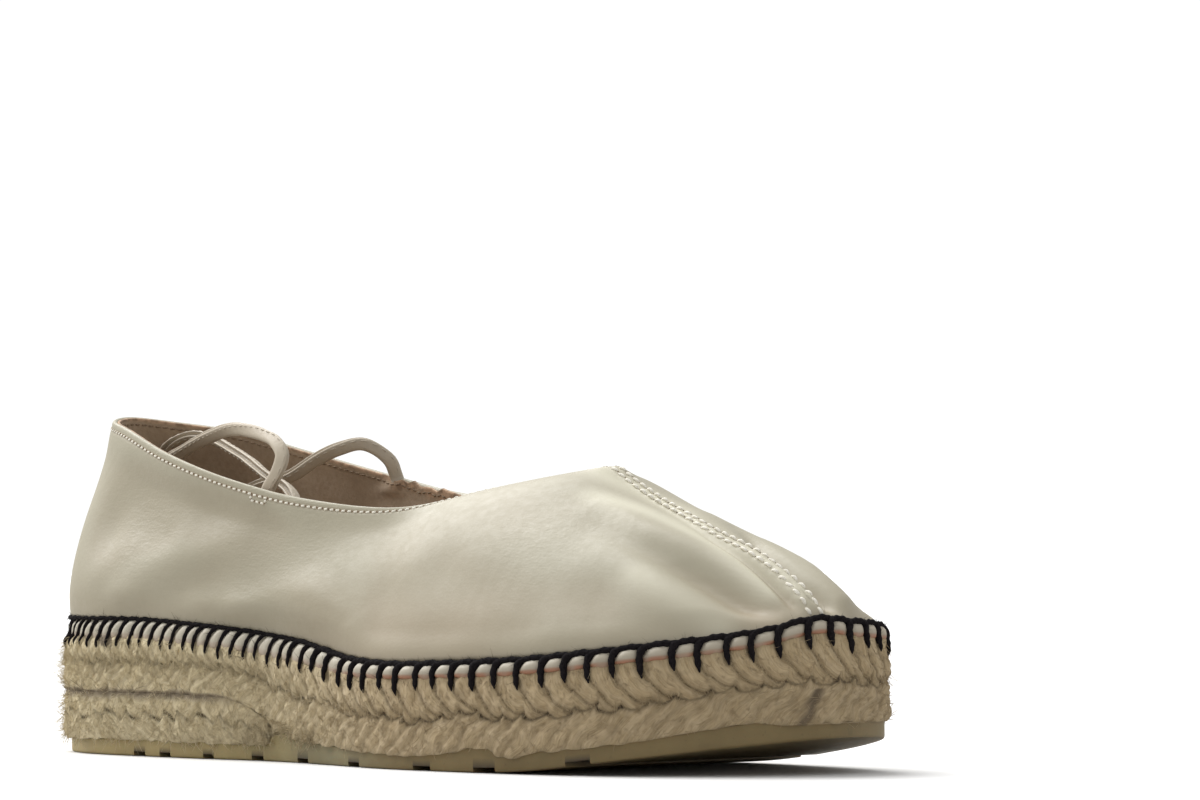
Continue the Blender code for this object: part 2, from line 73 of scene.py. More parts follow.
# the sole's outline: share of the length, share of the ball width out from the middle line
lateralEdge = [
    (0.030, 0.222), (0.100, 0.333), (0.190, 0.355), (0.280, 0.364), (0.380, 0.352), (0.480, 0.410),
    (0.580, 0.484), (0.660, 0.501), (0.760, 0.489), (0.860, 0.425), (0.940, 0.262), (0.981, 0.110),
]
medialEdge = [
    (0.030, 0.220), (0.100, 0.328), (0.190, 0.344), (0.280, 0.324), (0.380, 0.322), (0.480, 0.362),
    (0.580, 0.430), (0.660, 0.482), (0.760, 0.480), (0.860, 0.438), (0.935, 0.372), (0.980, 0.285),
    (0.999, 0.145),
]
toePoint = (0.998, 0.0)

# heights along the sole: shares of the toe spring, of the heel stack and of the wedge
heights = {
    "along": [0, 0.1, 0.2, 0.28, 0.33, 0.36, 0.38, 0.395, 0.415, 0.44, 0.48, 0.52, 0.6, 0.68, 0.76,
              0.88, 0.95, 1],
    "ground": [0, 0, 0, 0, 0, 0, 0, 0, 0, 0, 0, 0, 0, 0, 0.05, 0.45, 0.76, 1],
    "edge": [1, 1.003, 1, 0.968, 0.94, 0.919, 0.904, 0.892, 0.878, 0.858, 0.811, 0.764, 0.728, 0.742, 0.768,
             0.858, 0.938, 1.025],
    "lift": [1, 1, 1, 0.985, 0.91, 0.715, 0.47, 0.15, 0.02, 0, 0, 0, 0, 0, 0, 0, 0, 0],
}
wedgeTops = {
    "along": [0, 0.2, 0.28, 0.32, 0.345, 0.362, 0.378, 0.386],
    "top": [1, 1, 0.975, 0.93, 0.8, 0.665, 0.46, 0.25],
}

# the collar from the heel's back to the throat, and the vamp's ridge from the throat to the toe
collar = {
    "share": [0, 0.035, 0.12, 0.25, 0.4, 0.57, 0.74, 0.88],
    "half": [0, 0.415, 0.68, 0.893, 1, 0.972, 0.85, 0.5],
    "height": [1, 0.986, 0.954, 0.878, 0.804, 0.741, 0.722, 0.776],
    "lift": [0, 0, 0.3, 0.8, 1, 1, 1, 0.6],
}
ridge = {
    "share": [0, 0.1, 0.2, 0.4, 0.55, 0.68, 0.78, 0.88, 0.95, 1],
    "drop": [0, 0.112, 0.212, 0.371, 0.49, 0.582, 0.677, 0.797, 0.905, 1],
}


def ease(value, start, end):  # smooth step from 0 to 1
    t = np.clip((value - start) / (end - start), 0, 1)
    return t * t * (3 - 2 * t)


def fromTo(pair, share):  # from the first value of a pair to the second
    return pair[0] + (pair[1] - pair[0]) * share


def unit(v):  # vectors made one long
    return v / np.maximum(np.linalg.norm(v, axis=-1, keepdims=True), 1e-12)


def through(knots, values, at):  # cubic through the knots, slopes from their neighbours
    knots, values = np.asarray(knots, float), np.asarray(values, float)
    at = np.clip(np.asarray(at, float), knots[0], knots[-1])
    slopes = np.gradient(values, knots)
    i = np.clip(np.searchsorted(knots, at, side="right") - 1, 0, len(knots) - 2)
    step = knots[i + 1] - knots[i]
    t = (at - knots[i]) / step
    low = (1 + 2 * t) * (1 - t) ** 2 * values[i] + step * t * (1 - t) ** 2 * slopes[i]
    high = t ** 2 * (3 - 2 * t) * values[i + 1] - step * t ** 2 * (1 - t) * slopes[i + 1]
    return low + high


def smoothPath(points, steps=pathSteps):  # dense path through the points, knots at the roots of the chords
    points = np.asarray(points, float)
    knots = np.concatenate([[0], np.cumsum(np.sqrt(np.linalg.norm(np.diff(points, axis=0), axis=1)))])
    places = np.concatenate([np.linspace(a, b, steps, endpoint=False) for a, b in zip(knots, knots[1:])])
    places = np.append(places, knots[-1])
    return np.column_stack([through(knots, points[:, k], places) for k in range(points.shape[1])])


def lengthsOf(path):  # the way covered at each point of a path, or of many paths
    covered = np.cumsum(np.linalg.norm(np.diff(path, axis=-2), axis=-1), axis=-1)
    return np.concatenate([np.zeros_like(covered[..., :1]), covered], -1)


def readAt(at, knots, rows):  # straight lines between rows of numbers that stand at the knots
    return np.stack([np.interp(at, knots, rows[:, k]) for k in range(rows.shape[1])], -1)


def atShare(path, share):  # points at shares of a path's length
    lengths = lengthsOf(path)
    return readAt(share * lengths[-1], lengths, path)


def soleLoop():  # both sides of the outline as one loop from the heel's back, outer side first
    size = np.array([shoe["length"], shoe["ballWidth"]])
    lateral = [(a, -o) for a, o in lateralEdge]
    medial = list(medialEdge)
    rows = medial[1::-1] + [(0, 0)] + lateral + [toePoint] + medial[::-1] + [(0, 0)] + lateral[:2]
    path = smoothPath(np.array(rows) * size)
    first, toe = 2 * pathSteps, (2 + len(lateral) + 1) * pathSteps
    last = toe + (len(medial) + 1) * pathSteps
    return path[first : last + 1], toe - first


loop, toeIndex = soleLoop()
centre = (loop.min(0) + loop.max(0)) / 2
loop = loop - centre  # the part's origin is under the middle of the outline
heelX, heelY = -centre
loopAt = lengthsOf(loop)
roundLength = loopAt[-1]
lateralLength = loopAt[toeIndex]
medialLength = roundLength - lateralLength
fineS = np.linspace(0, roundLength, 2401)
fineLoop = readAt(fineS, loopAt, loop)
turn = np.roll(fineLoop[:-1], -6, 0) - np.roll(fineLoop[:-1], 6, 0)
fineOut = unit(np.column_stack([turn[:, 1], -turn[:, 0]]))
fineOut = np.vstack([fineOut, fineOut[:1]])


def around(s, inset):  # places round the outline at length s from the heel's back, moved inwards
    s = np.mod(s, roundLength)
    place, out = readAt(s, fineS, fineLoop), readAt(s, fineS, fineOut)
    return place[..., 0] - inset * out[..., 0], place[..., 1] - inset * out[..., 1]


def outwardAt(s):  # the level way out of the outline
    out = readAt(np.mod(s, roundLength), fineS, fineOut)
    return np.concatenate([unit(out), np.zeros(out.shape[:-1] + (1,))], -1)


def alongOf(x):  # share of the shoe's length
    return (x - heelX) / shoe["length"]


def groundAt(x):  # the rubber's underside
    return shoe["toeSpring"] * through(heights["along"], heights["ground"], alongOf(x))


def edgeAt(x):  # the edge stitch, without the pull at the toe
    return shoe["heelStack"] * through(heights["along"], heights["edge"], alongOf(x))


def edgeRound(s):  # height of the edge stitch at length s round the outline
    x, _ = around(s, 0)
    pull = (np.mod(s, roundLength) - lateralLength + shoe["toeLiftAt"]) / shoe["toeLiftReach"]
    return edgeAt(x) + shoe["toeLift"] * np.exp(-(pull ** 2))


def rubberAt(x):  # the rubber's top
    return groundAt(x) + shoe["rubber"]


def juteFootAt(x):  # the jute sole's foot: on the rubber, lifted by the wedge
    lift = np.clip(through(heights["along"], heights["lift"], alongOf(x)), 0, None)
    return rubberAt(x) + shoe["gap"] + (shoe["wedge"] + shoe["gap"]) * lift


def wedgeTopAt(x):  # the wedge's top, a share of its full height over the rubber
    return rubberAt(x) + shoe["wedge"] * through(wedgeTops["along"], wedgeTops["top"], alongOf(x))


def waves(points, size, seed, count=28):  # smooth random field: a sum of plane waves about size long
    dice = np.random.default_rng(seed)
    heading = unit(dice.normal(size=(count, points.shape[-1])))
    pace = 2 * np.pi / (size * dice.uniform(0.7, 1.6, count))
    phase = dice.uniform(0, 2 * np.pi, count)
    field = np.zeros(points.shape[:-1])
    for k in range(count):
        field += np.cos(points @ (heading[k] * pace[k]) + phase[k])
    return field * np.sqrt(2 / count)


def gridFaces(columns, rows, closed, start=0):  # quads of a grid stored column by column
    i = np.arange(columns if closed else columns - 1)[:, None]
    j = np.arange(rows - 1)[None, :]
    k = (i + 1) % columns
    faces = np.stack([i * rows + j, k * rows + j, k * rows + j + 1, i * rows + j + 1], -1)
    return faces.reshape(-1, 4) + start


def closingFaces(columns, rows, closed):  # quads from the last row of a grid back to its first
    i = np.arange(columns if closed else columns - 1)
    k = (i + 1) % columns
    return np.stack([i * rows + rows - 1, k * rows + rows - 1, k * rows, i * rows], -1)


def gridNormals(grid, closed):  # outward normals of a grid whose columns run round and rows run up
    if closed:
        run = np.roll(grid, -1, 0) - np.roll(grid, 1, 0)
    else:
        run = np.gradient(grid, axis=0)
    return unit(np.cross(run, np.gradient(grid, axis=1)))


def putMesh(name, points, faces, look, slot=None, replaces=(), weld=None, uv=None, values=None, flat=False):
    # a piece from points and faces, with its attributes and fibre map, welded where a weld distance is given
    mesh = bpy.data.meshes.new(name)
    points = np.asarray(points, float).reshape(-1, 3)
    mesh.from_pydata(points, [], [list(map(int, f)) for f in faces])
    for key, numbers in (values or {}).items():
        attribute = mesh.attributes.new(key, "FLOAT", "POINT")
        attribute.data.foreach_set("value", np.asarray(numbers, np.float32).ravel())
    if uv is not None:
        corner = np.zeros(len(mesh.loops), np.int32)
        mesh.loops.foreach_get("vertex_index", corner)
        layer = mesh.uv_layers.new(name="fibre")
        layer.data.foreach_set("uv", np.asarray(uv, np.float32).reshape(-1, 2)[corner].ravel())
    if weld:
        joined = bmesh.new()
        joined.from_mesh(mesh)
        bmesh.ops.remove_doubles(joined, verts=joined.verts, dist=weld)
        joined.to_mesh(mesh)
        joined.free()
    mesh.validate()
    if not flat:
        mesh.shade_smooth()
    mesh.materials.append(look.material)
    obj = bpy.data.objects.new(name, mesh)
    bpy.context.scene.collection.objects.link(obj)
    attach(obj, "root")
    if replaces:
        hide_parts(*replaces)
    return obj


def tubes(paths, radii, faceUp, sides, lobes=0.0, twist=0.0):
    # many closed tubes at once: a circle round each point of the paths, capped at both ends, with two lobes
    # that turn along the path for a plied thread
    paths = np.asarray(paths, float)
    many, steps = paths.shape[:2]
    ahead = unit(np.gradient(paths, axis=1))
    up = np.broadcast_to(faceUp, paths.shape)
    side = unit(np.cross(ahead, up))
    up = np.cross(side, ahead)
    angle = np.linspace(0, 2 * np.pi, sides, endpoint=False)
    ripple = 1 + lobes * np.cos(2 * (angle[None, None, :] - twist * lengthsOf(paths)[:, :, None]))
    reach = np.asarray(radii, float)[..., None] * ripple
    ring = np.cos(angle)[None, None, :, None] * side[:, :, None, :]
    ring = ring + np.sin(angle)[None, None, :, None] * up[:, :, None, :]
    points = paths[:, :, None, :] + reach[..., None] * ring
    i = np.arange(steps - 1)[:, None]
    j = np.arange(sides)[None, :]
    k = (j + 1) % sides
    one = np.stack([i * sides + j, i * sides + k, (i + 1) * sides + k, (i + 1) * sides + j], -1)
    starts = np.arange(many)[:, None] * steps * sides
    quads = (one.reshape(-1, 4)[None] + starts[:, :, None]).reshape(-1, 4)
    near = starts + np.arange(sides)[None, ::-1]
    far = starts + (steps - 1) * sides + np.arange(sides)[None, :]
    return points.reshape(-1, 3), list(quads) + list(near) + list(far)


print("form ready: outline", round(roundLength / mm), "mm round")


# materials
class Wire:  # one socket; the operators on it add Math nodes
    def __init__(self, look, socket):
        self.look, self.socket = look, socket

    def __add__(self, other):
        return self.look.maths("ADD", self, other)

    def __radd__(self, other):
        return self.look.maths("ADD", other, self)

    def __sub__(self, other):
        return self.look.maths("SUBTRACT", self, other)

    def __rsub__(self, other):
        return self.look.maths("SUBTRACT", other, self)

    def __mul__(self, other):
        return self.look.maths("MULTIPLY", self, other)

    def __rmul__(self, other):
        return self.look.maths("MULTIPLY", other, self)


class Look:  # a material being built round one Principled shader
    def __init__(self, name, **values):
        self.material = bpy.data.materials.new(name)
        self.material.use_nodes = True
        self.tree = self.material.node_tree
        self.shader = self.tree.nodes["Principled BSDF"]
        for socket, value in values.items():
            self.use(socket, value)

    def use(self, socket, value):
        names = {"color": "Base Color", "rough": "Roughness", "normal": "Normal", "sheen": "Sheen Weight",
                 "specular": "Specular IOR Level", "subsurface": "Subsurface Weight",
                 "subsurfaceScale": "Subsurface Scale"}
        self.plug(self.shader.inputs[names[socket]], value)

    def plug(self, socket, value):
        if isinstance(value, Wire):
            self.tree.links.new(value.socket, socket)
        elif socket.type == "RGBA" and len(value) == 3:
            socket.default_value = (*value, 1)
        else:
            socket.default_value = value

    def node(self, kind, settings=None, sockets=None, out=0):
        made = self.tree.nodes.new("ShaderNode" + kind)
        for name, value in (settings or {}).items():
            if name == "stops":
                for _ in range(len(value) - 2):  # a new ramp has two stops
                    made.color_ramp.elements.new(0.5)
                for element, (place, tone) in zip(made.color_ramp.elements, value):
                    element.position = place
                    element.color = (*tone, 1) if isinstance(tone, tuple) else (tone, tone, tone, 1)
            else:
                setattr(made, name, value)
        for name, value in (sockets or {}).items():
            self.plug(made.inputs[name], value)
        return Wire(self, made.outputs[out])

    def maths(self, operation, a, b):
        return self.node("Math", {"operation": operation}, {0: a, 1: b})

    def clamp(self, value):
        return self.node("Clamp", None, {"Value": value})

    def mix(self, factor, a, b, blend="MIX"):
        return self.node("Mix", {"data_type": "RGBA", "blend_type": blend}, {0: factor, 6: a, 7: b}, 2)

    def ramp(self, factor, *stops):
        return self.node("ValToRGB", {"stops": stops}, {"Fac": factor})

    def place(self):
        return self.node("TexCoord", None, None, "Object")

    def fibre(self):
        return self.node("UVMap", {"uv_map": "fibre"})

    def value(self, name):
        return self.node("Attribute", {"attribute_name": name}, None, "Fac")

    def stretch(self, vector, scale):
        return self.node("VectorMath", {"operation": "MULTIPLY"}, {0: vector, 1: scale})

    def noise(self, vector, scale, detail=2.0, roughness=0.5, distortion=0.0):
        sockets = {"Vector": vector, "Scale": scale, "Detail": detail, "Roughness": roughness}
        return self.node("TexNoise", None, {**sockets, "Distortion": distortion})

    def cells(self, vector, scale):
        return self.node("TexVoronoi", None, {"Vector": vector, "Scale": scale})

    def bump(self, height, distance, strength):
        return self.node("Bump", None, {"Height": height, "Distance": distance, "Strength": strength})


def leatherLook(name, pale, deep, paintedLight=None):
    # pale hide: cloudy tone, pebble grain from cells; the upper's hide also gets fine wrinkles, painted shade
    # and a painted sheen standing in for soft highlights, where the values of those names ask for them
    look = Look(name, specular=0.42)
    at = look.place()
    cloud = look.noise(at, 24.0, 2.0, 0.5)
    fleck = look.noise(at, 420.0, 3.0, 0.6)
    tone = look.mix(look.ramp(cloud, (0.3, 0.0), (0.72, 1.0)), deep, pale)
    tone = look.mix(look.ramp(fleck, (0.35, 0.10), (0.6, 0.0)), tone, tuple(0.82 * c for c in deep))
    grain = look.cells(at, 1150.0)
    fine = look.noise(at, 2600.0, 2.0)
    height = grain * 0.55 + fine * 0.35
    if paintedLight:
        line = look.noise(look.stretch(at, (0.35, 1.0, 1.5)), 620.0, 3.0, 0.55, 0.6)
        wrinkle = look.value("wrinkle")
        # painted shade: a darker, warmer tone in folds, gutters, low on the wall and between the rim's
        # stitches
        tone = look.mix(look.value("grime"), tone, paintedLight["grime"])
        # painted sheen: a paler tone on strips beside the seam and along the vamp's roll
        tone = look.mix(look.value("rub"), tone, paintedLight["rub"])
        height = height * (0.45 + 0.9 * wrinkle) + line * (0.25 + 1.5 * wrinkle)
    look.use("color", tone)
    look.use("rough", look.ramp(fleck, (0.3, 0.56), (0.7, 0.44)))
    look.use("normal", look.bump(height, 0.10 * mm, 0.62))
    return look


def threadLook(name, tone, dark, rough=0.75, sheen=0.0, specular=0.25):
    # spun thread: a fine noise parts pale fibres from dark ones
    look = Look(name, specular=specular, sheen=sheen)
    at = look.place()
    hair = look.noise(at, 2300.0, 3.0, 0.65)
    look.use("color", look.mix(look.ramp(hair, (0.35, 0.0), (0.68, 1.0)), dark, tone))
    look.use("rough", rough)
    look.use("normal", look.bump(hair, 0.12 * mm, 0.7))
    return look


def juteLook(name, tints):
    # jute: fibres drawn out along each strand's own map, a tint for each strand, darker away from the heel
    # (partly its own tone, partly painted shade), painted shade in the gaps, grey glue
    look = Look(name, specular=0.1, sheen=0.08, rough=0.95)
    at = look.place()
    strand = look.fibre()
    fine = look.noise(look.stretch(strand, (1.0, 0.07, 1.0)), 3600.0, 2.0, 0.6, 0.4)
    fibre = look.noise(look.stretch(strand, (1.0, 0.1, 1.0)), 1700.0, 3.0, 0.6, 0.6)
    coarse = look.noise(look.stretch(strand, (1.0, 0.3, 1.0)), 420.0, 3.0, 0.6, 0.5)
    speck = look.noise(at, 1500.0, 2.0, 0.6)
    blend = look.clamp((fine + fibre) * 2.1 - 1.55)
    tone = look.mix(blend, tints["shade"], tints["straw"])
    tone = look.mix(look.ramp(coarse, (0.42, 0.0), (0.75, 0.6)), tone, tints["pale"])
    tone = look.mix(look.ramp(speck, (0.68, 0.0), (0.78, 0.4)), tone, tints["rust"])
    tone = look.mix(look.value("tint") * 0.25, tone, tints["shade"])
    # darker towards the toe: partly the jute's own tone, partly painted shade
    tone = look.mix(look.value("dull"), tone, look.mix(1.0, tone, tints["dull"], "MULTIPLY"))
    # painted shade in the gaps between strands, along the groove, under the hem and at the knots; also the
    # brown smear
    tone = look.mix(look.value("gap"), tone, tints["deep"])
    tone = look.mix(look.value("glue"), tone, tints["glue"])
    look.use("color", tone)
    height = fine * 0.6 + fibre * 0.9 + coarse * 0.4
    look.use("normal", look.bump(height, 0.5 * mm, 0.9))
    return look


leatherTones = {
    "upper": ((0.424, 0.396, 0.300), (0.396, 0.363, 0.270)),  # pale and deep
    "strap": ((0.53, 0.465, 0.365), (0.45, 0.385, 0.295)),
    "hem": ((0.57, 0.525, 0.43), (0.51, 0.465, 0.37)),
    # colours of the upper's painted shade and painted sheen
    "paintedLight": {"grime": (0.33, 0.255, 0.17), "rub": (0.60, 0.57, 0.445)},
}
leather = leatherLook("palestLeather", *leatherTones["upper"], leatherTones["paintedLight"])
strapLeather = leatherLook("strapLeather", *leatherTones["strap"])
juteTints = {
    "straw": (0.82, 0.71, 0.47),
    "pale": (0.93, 0.83, 0.60),
    "shade": (0.56, 0.46, 0.285),
    # painted shade in the gaps
    "deep": (0.085, 0.06, 0.03),
    "rust": (0.30, 0.15, 0.08),
    # darker towards the toe, partly painted shade
    "dull": (0.66, 0.60, 0.56),
    "glue": (0.24, 0.19, 0.14),
}
jute = juteLook("juteBraid", juteTints)
navyThread = threadLook("navyYarn", (0.017, 0.014, 0.015), (0.005, 0.004, 0.005), 0.9, 0.0, 0.08)
creamThread = threadLook("creamThread", (0.92, 0.89, 0.80), (0.74, 0.70, 0.60), 0.55)
tieThread = threadLook("tieThread", (0.60, 0.54, 0.44), (0.46, 0.40, 0.32), 0.6)
brownThread = threadLook("brownThread", (0.34, 0.25, 0.165), (0.18, 0.125, 0.08), 0.7)


def liningLook():
    # brown split leather: soft nap in patches, a tan raw edge under the rim
    look = Look("brownLining", specular=0.2, sheen=0.15)
    at = look.place()
    nap = look.noise(at, 900.0, 4.0, 0.62)
    patch = look.noise(at, 60.0, 3.0, 0.55)
    tone = look.mix(look.ramp(patch, (0.32, 0.0), (0.7, 1.0)), (0.36, 0.262, 0.175), (0.50, 0.385, 0.275))
    tone = look.mix(look.ramp(nap, (0.36, 0.35), (0.62, 0.0)), tone, (0.27, 0.19, 0.125))
    crumb = look.ramp(look.noise(at, 420.0, 2.0), (0.44, 0.0), (0.6, 0.8))
    raw = look.mix(crumb, (0.53, 0.355, 0.23), (0.2, 0.13, 0.08))
    tone = look.mix(look.value("rawEdge"), tone, raw)
    look.use("color", tone)
    look.use("rough", look.ramp(nap, (0.3, 0.9), (0.7, 0.72)))
    look.use("normal", look.bump(nap + patch * 0.6, 0.16 * mm, 0.6))
    return look


def rubberLook():
    # crepe rubber: cloudy olive beige, a few dark specks, soft uneven shine; painted light at the heel and
    # painted shade towards the toe, painted shade on the tread and in its grooves
    look = Look("creamRubber", specular=0.4, subsurface=0.12, subsurfaceScale=2 * mm)
    at = look.place()
    cloud = look.noise(at, 55.0, 4.0, 0.6)
    speck = look.noise(at, 800.0, 3.0, 0.7)
    tone = look.mix(look.ramp(cloud, (0.3, 0.0), (0.72, 1.0)), (0.245, 0.19, 0.09), (0.34, 0.268, 0.134))
    tone = look.mix(look.ramp(speck, (0.62, 0.0), (0.74, 0.5)), tone, (0.16, 0.125, 0.07))
    # painted light at the heel, half again as bright; painted shade towards the toe
    stops = (0.0, (1.5, 1.5, 1.42)), (0.62, (0.86, 0.96, 1.08)), (1.0, (0.74, 0.69, 0.6))
    along = look.ramp(look.value("dull"), *stops)
    tone = look.mix(1.0, tone, along, "MULTIPLY")
    # painted shade on the tread, darker still in the grooves
    tone = look.mix(look.value("tread"), tone, (0.06, 0.045, 0.03))
    look.use("color", tone)
    look.use("rough", look.ramp(cloud, (0.3, 0.42), (0.7, 0.58)))
    look.use("normal", look.bump(speck + cloud, 0.12 * mm, 0.5))
    return look


lining = liningLook()
rubber = rubberLook()
print("materials ready")

# camera at the photo's angle: the aim puts the lens's middle where the photo's framing needs it
view = {
    "turn": 45.03,  # degrees from the shoe's outer side towards its toe
    "far": 1273.9 * mm,
    "high": 50.94 * mm,
    "image": (1200, 800),
    "focal": 5227.7,  # in pixels of that image
    "middle": (443.57, 551.23),  # where the level line ahead falls in it
    "sensor": 36,  # Blender's own width for a new camera
}


def addCamera():
    turned = math.radians(view["turn"])
    ahead = Vector((-math.sin(turned), math.cos(turned), 0))
    right = Vector((math.cos(turned), math.sin(turned), 0))
    wide, tall = view["image"]
    stand = Vector((shoe["length"] / 2 + heelX, heelY, view["high"])) - ahead * view["far"]
    across = (wide / 2 - view["middle"][0]) / view["focal"]
    rise = (view["middle"][1] - tall / 2) / view["focal"]
    aim = ahead + right * across + Vector((0, 0, rise))
    lens = bpy.data.cameras.new("photoCamera")
    lens.lens = view["sensor"] * view["focal"] / wide
    lens.clip_end = 30
    camera = bpy.data.objects.new("photoCamera", lens)
    bpy.context.scene.collection.objects.link(camera)
    camera.location = stand
    camera.rotation_euler = aim.to_track_quat("-Z", "Y").to_euler()
    bpy.context.scene.camera = camera
    return right, ahead


cameraRight, cameraAhead = addCamera()

# ankle ties: folded straps; route points are the solids' own, from the heel's back, in mm
tie = {
    "width": 3.6 * mm,
    "thick": 2.3 * mm,
    "step": 1.1 * mm,
    "sides": 28,
    "round": (0.62, 0.78),  # powers of the section across and through, 1 is an ellipse
    "slit": (0.3, 1.25 * mm),  # half angle and depth of the fold's open edge
    "wear": 0.035,
    "stitch": 2.6 * mm,
    "stitchLong": 1.7 * mm,
    "stitchOff": 0.9 * mm,  # from the middle line towards the slit
    "stitchRadius": 0.14 * mm,
    "bareEnds": 3 * mm,
}
tieRoutes = {
    "tieLateral": {
        "node": "tie_lateral",
        "route": [
            (87.4, -24.4, 63.6), (88.2, -23.7, 66.5), (90.6, -23, 70.5), (91.2, -22, 74.4), (88, -21, 77.6),
            (81.5, -19.3, 79.6), (73, -17, 81), (64, -14.5, 81.3), (50, -10, 79.3), (40, -7.5, 76.7),
            (30, -7.5, 72.5), (21.5, -7.8, 67.8), (16.4, -6, 65.6), (12.9, -0.8, 66.2), (12.7, 3.8, 70.6),
            (15, 5.2, 75), (19.8, 4.9, 78.2), (29, 5.2, 80.4), (38.9, 4, 79), (48, 1.3, 76.6),
            (57, -1.6, 73.9), (69, -6, 69.6), (81, -9.5, 65.5), (89, -15, 58), (91, -20, 49), (85, -22, 40.5),
            (74, -21, 36.6), (62, -20, 36.8),
        ],
        "back": [  # the way its back faces at shares of its length
            (0, (-0.42, 0.98, -0.5)), (0.07, (-0.45, 0.95, -0.45)), (0.12, (-0.7, 0.7, 0)),
            (0.2, (-0.7, 0.7, 0.25)), (0.32, (-0.7, 0.7, 0.4)), (0.39, (-0.6, 0.75, 0.2)),
            (0.46, (0.7, 0.7, 0)), (0.52, (0.8, -0.4, -0.7)), (0.56, (0.3, -0.5, -0.9)),
            (0.62, (-0.3, -0.35, -0.95)), (0.8, (-0.4, -0.4, -0.85)), (1, (0, 0, 1)),
        ],
    },
    "tieMedial": {
        "node": "tie_medial",
        "route": [
            (83.2, 25.6, 68.9), (83, 25, 70.4), (82.6, 23.2, 74), (78, 18.6, 78), (72, 15.5, 76.8),
            (64.5, 14.5, 74), (57, 13, 70), (46.5, 10.3, 67), (37, 6, 61.5), (29.5, 1, 54), (26, -5, 45.5),
            (28.5, -10, 39.3), (37, -11.5, 37.3), (48, -9, 37.2), (60, -4, 37), (72, 0, 36.8), (83, 1, 36.6),
        ],
        "back": [
            (0, (-0.6, 0.8, -0.3)), (0.1, (-0.7, 0.7, 0.2)), (0.2, (-0.65, 0.7, 0.7)),
            (0.4, (-0.6, 0.6, 0.8)), (0.7, (0, 0, 1)), (1, (0, 0, 1)),
        ],
    },
}


def strap(name, spec):
    # a rounded flat section, a superellipse with a slit on one edge, carried along the route
    route = np.array(spec["route"]) * mm + np.array([heelX, heelY, 0])
    path = smoothPath(route, 40)
    long = lengthsOf(path)[-1]
    count = int(round(long / tie["step"]))
    share = np.linspace(0, 1, count + 1)
    path = atShare(path, share)
    ahead = unit(np.gradient(path, axis=0))
    keys, ways = zip(*spec["back"])
    over = readAt(share, keys, np.array(ways))
    over = unit(over - ahead * (over * ahead).sum(1, keepdims=True))
    across = np.cross(ahead, over)
    sides = tie["sides"]
    angle = np.linspace(0, 2 * np.pi, sides, endpoint=False)
    w = np.sign(np.cos(angle)) * np.abs(np.cos(angle)) ** tie["round"][0] * tie["width"] / 2
    h = np.sign(np.sin(angle)) * np.abs(np.sin(angle)) ** tie["round"][1] * tie["thick"] / 2
    slit = np.exp(-((angle - np.pi) / tie["slit"][0]) ** 2)  # the fold's two raw edges meet here
    w = w + slit * tie["slit"][1]
    wear = 1 + tie["wear"] * waves(path, 9 * mm, 5)[:, None, None]
    section = across[:, None, :] * w[None, :, None] + over[:, None, :] * h[None, :, None]
    points = path[:, None, :] + section * wear
    faces = np.vstack([gridFaces(len(path), sides, False), closingFaces(len(path), sides, False)])
    caps = [list(range(sides)), [count * sides + k for k in range(sides)][::-1]]
    obj = putMesh(name, points, list(faces[:, ::-1]) + caps, strapLeather, "leather", [spec["node"]])
    # stitches along both faces, near the slit edge
    lengths = lengthsOf(path)
    starts = np.arange(tie["bareEnds"], lengths[-1] - tie["bareEnds"], tie["stitch"])
    t = np.linspace(-0.5, 0.5, 5)[None, :] * tie["stitchLong"] + starts[:, None]
    middle, aside, above = (readAt(t, lengths, rows) for rows in (path, across, over))
    dip = np.array([-0.16, 0.07, 0.12, 0.07, -0.16]) * mm
    lift = tie["thick"] / 2 - 0.1 * mm + dip[None, :, None]
    rows = np.concatenate([middle - aside * tie["stitchOff"] + face * above * lift for face in (1, -1)])
    facing = unit(np.concatenate([above, above]))
    radii = np.full(rows.shape[:2], tie["stitchRadius"])
    sewn = putMesh(name + "Stitch", *tubes(rows, radii, facing, 6), tieThread)
    print(name, "length", round(float(long) / mm), "mm")


for name, spec in tieRoutes.items():
    strap(name, spec)

# upper: the leather wall and its folds
upper = {
    "columns": 220,  # on each side
    "lowRows": 46,
    "topRows": 15,
    "topBand": 6 * mm,
    "leather": 0.9 * mm,
    "roll": 0.75 * mm,  # radius of the turned rim
    "rollLeg": 0.8 * mm,
    "seamRaise": (0.45 * mm, 1.35 * mm),  # at the throat and at the toe
    "seamHalf": 2.5 * mm,
    "seamGutter": 1.1 * mm,
    "seamSpread": (0.1, 0.25),  # how much wider it is at the toe, outer and inner side
    "seamPucker": 0.22 * mm,
    "seamDent": 0.12 * mm,  # under its stitches
    "seamValley": 0.3 * mm,  # between its halves, near the throat
    "throatBlend": 0.035,  # share of a side over which the wall's corner at the throat is eased
    "throatReach": 0.085,
    "rimGroove": (0.45 * mm, 0.22 * mm),  # half width and depth
    "uneven": 0.16 * mm,
    "heelBulge": 1.6 * mm,
    "vampBulge": {-1: 2.2 * mm, 1: 1.2 * mm},  # outer and inner side
    "upright": {-1: 0.56, 1: 0.5},
    "level": {-1: 0.46, 1: 0.46},
    "toeFrom": {-1: 0.10, 1: 0.16},  # past the throat, where the wall starts to flatten towards the toe
    "instepHump": 4 * mm,
    "toeRise": 1.2 * mm,
}
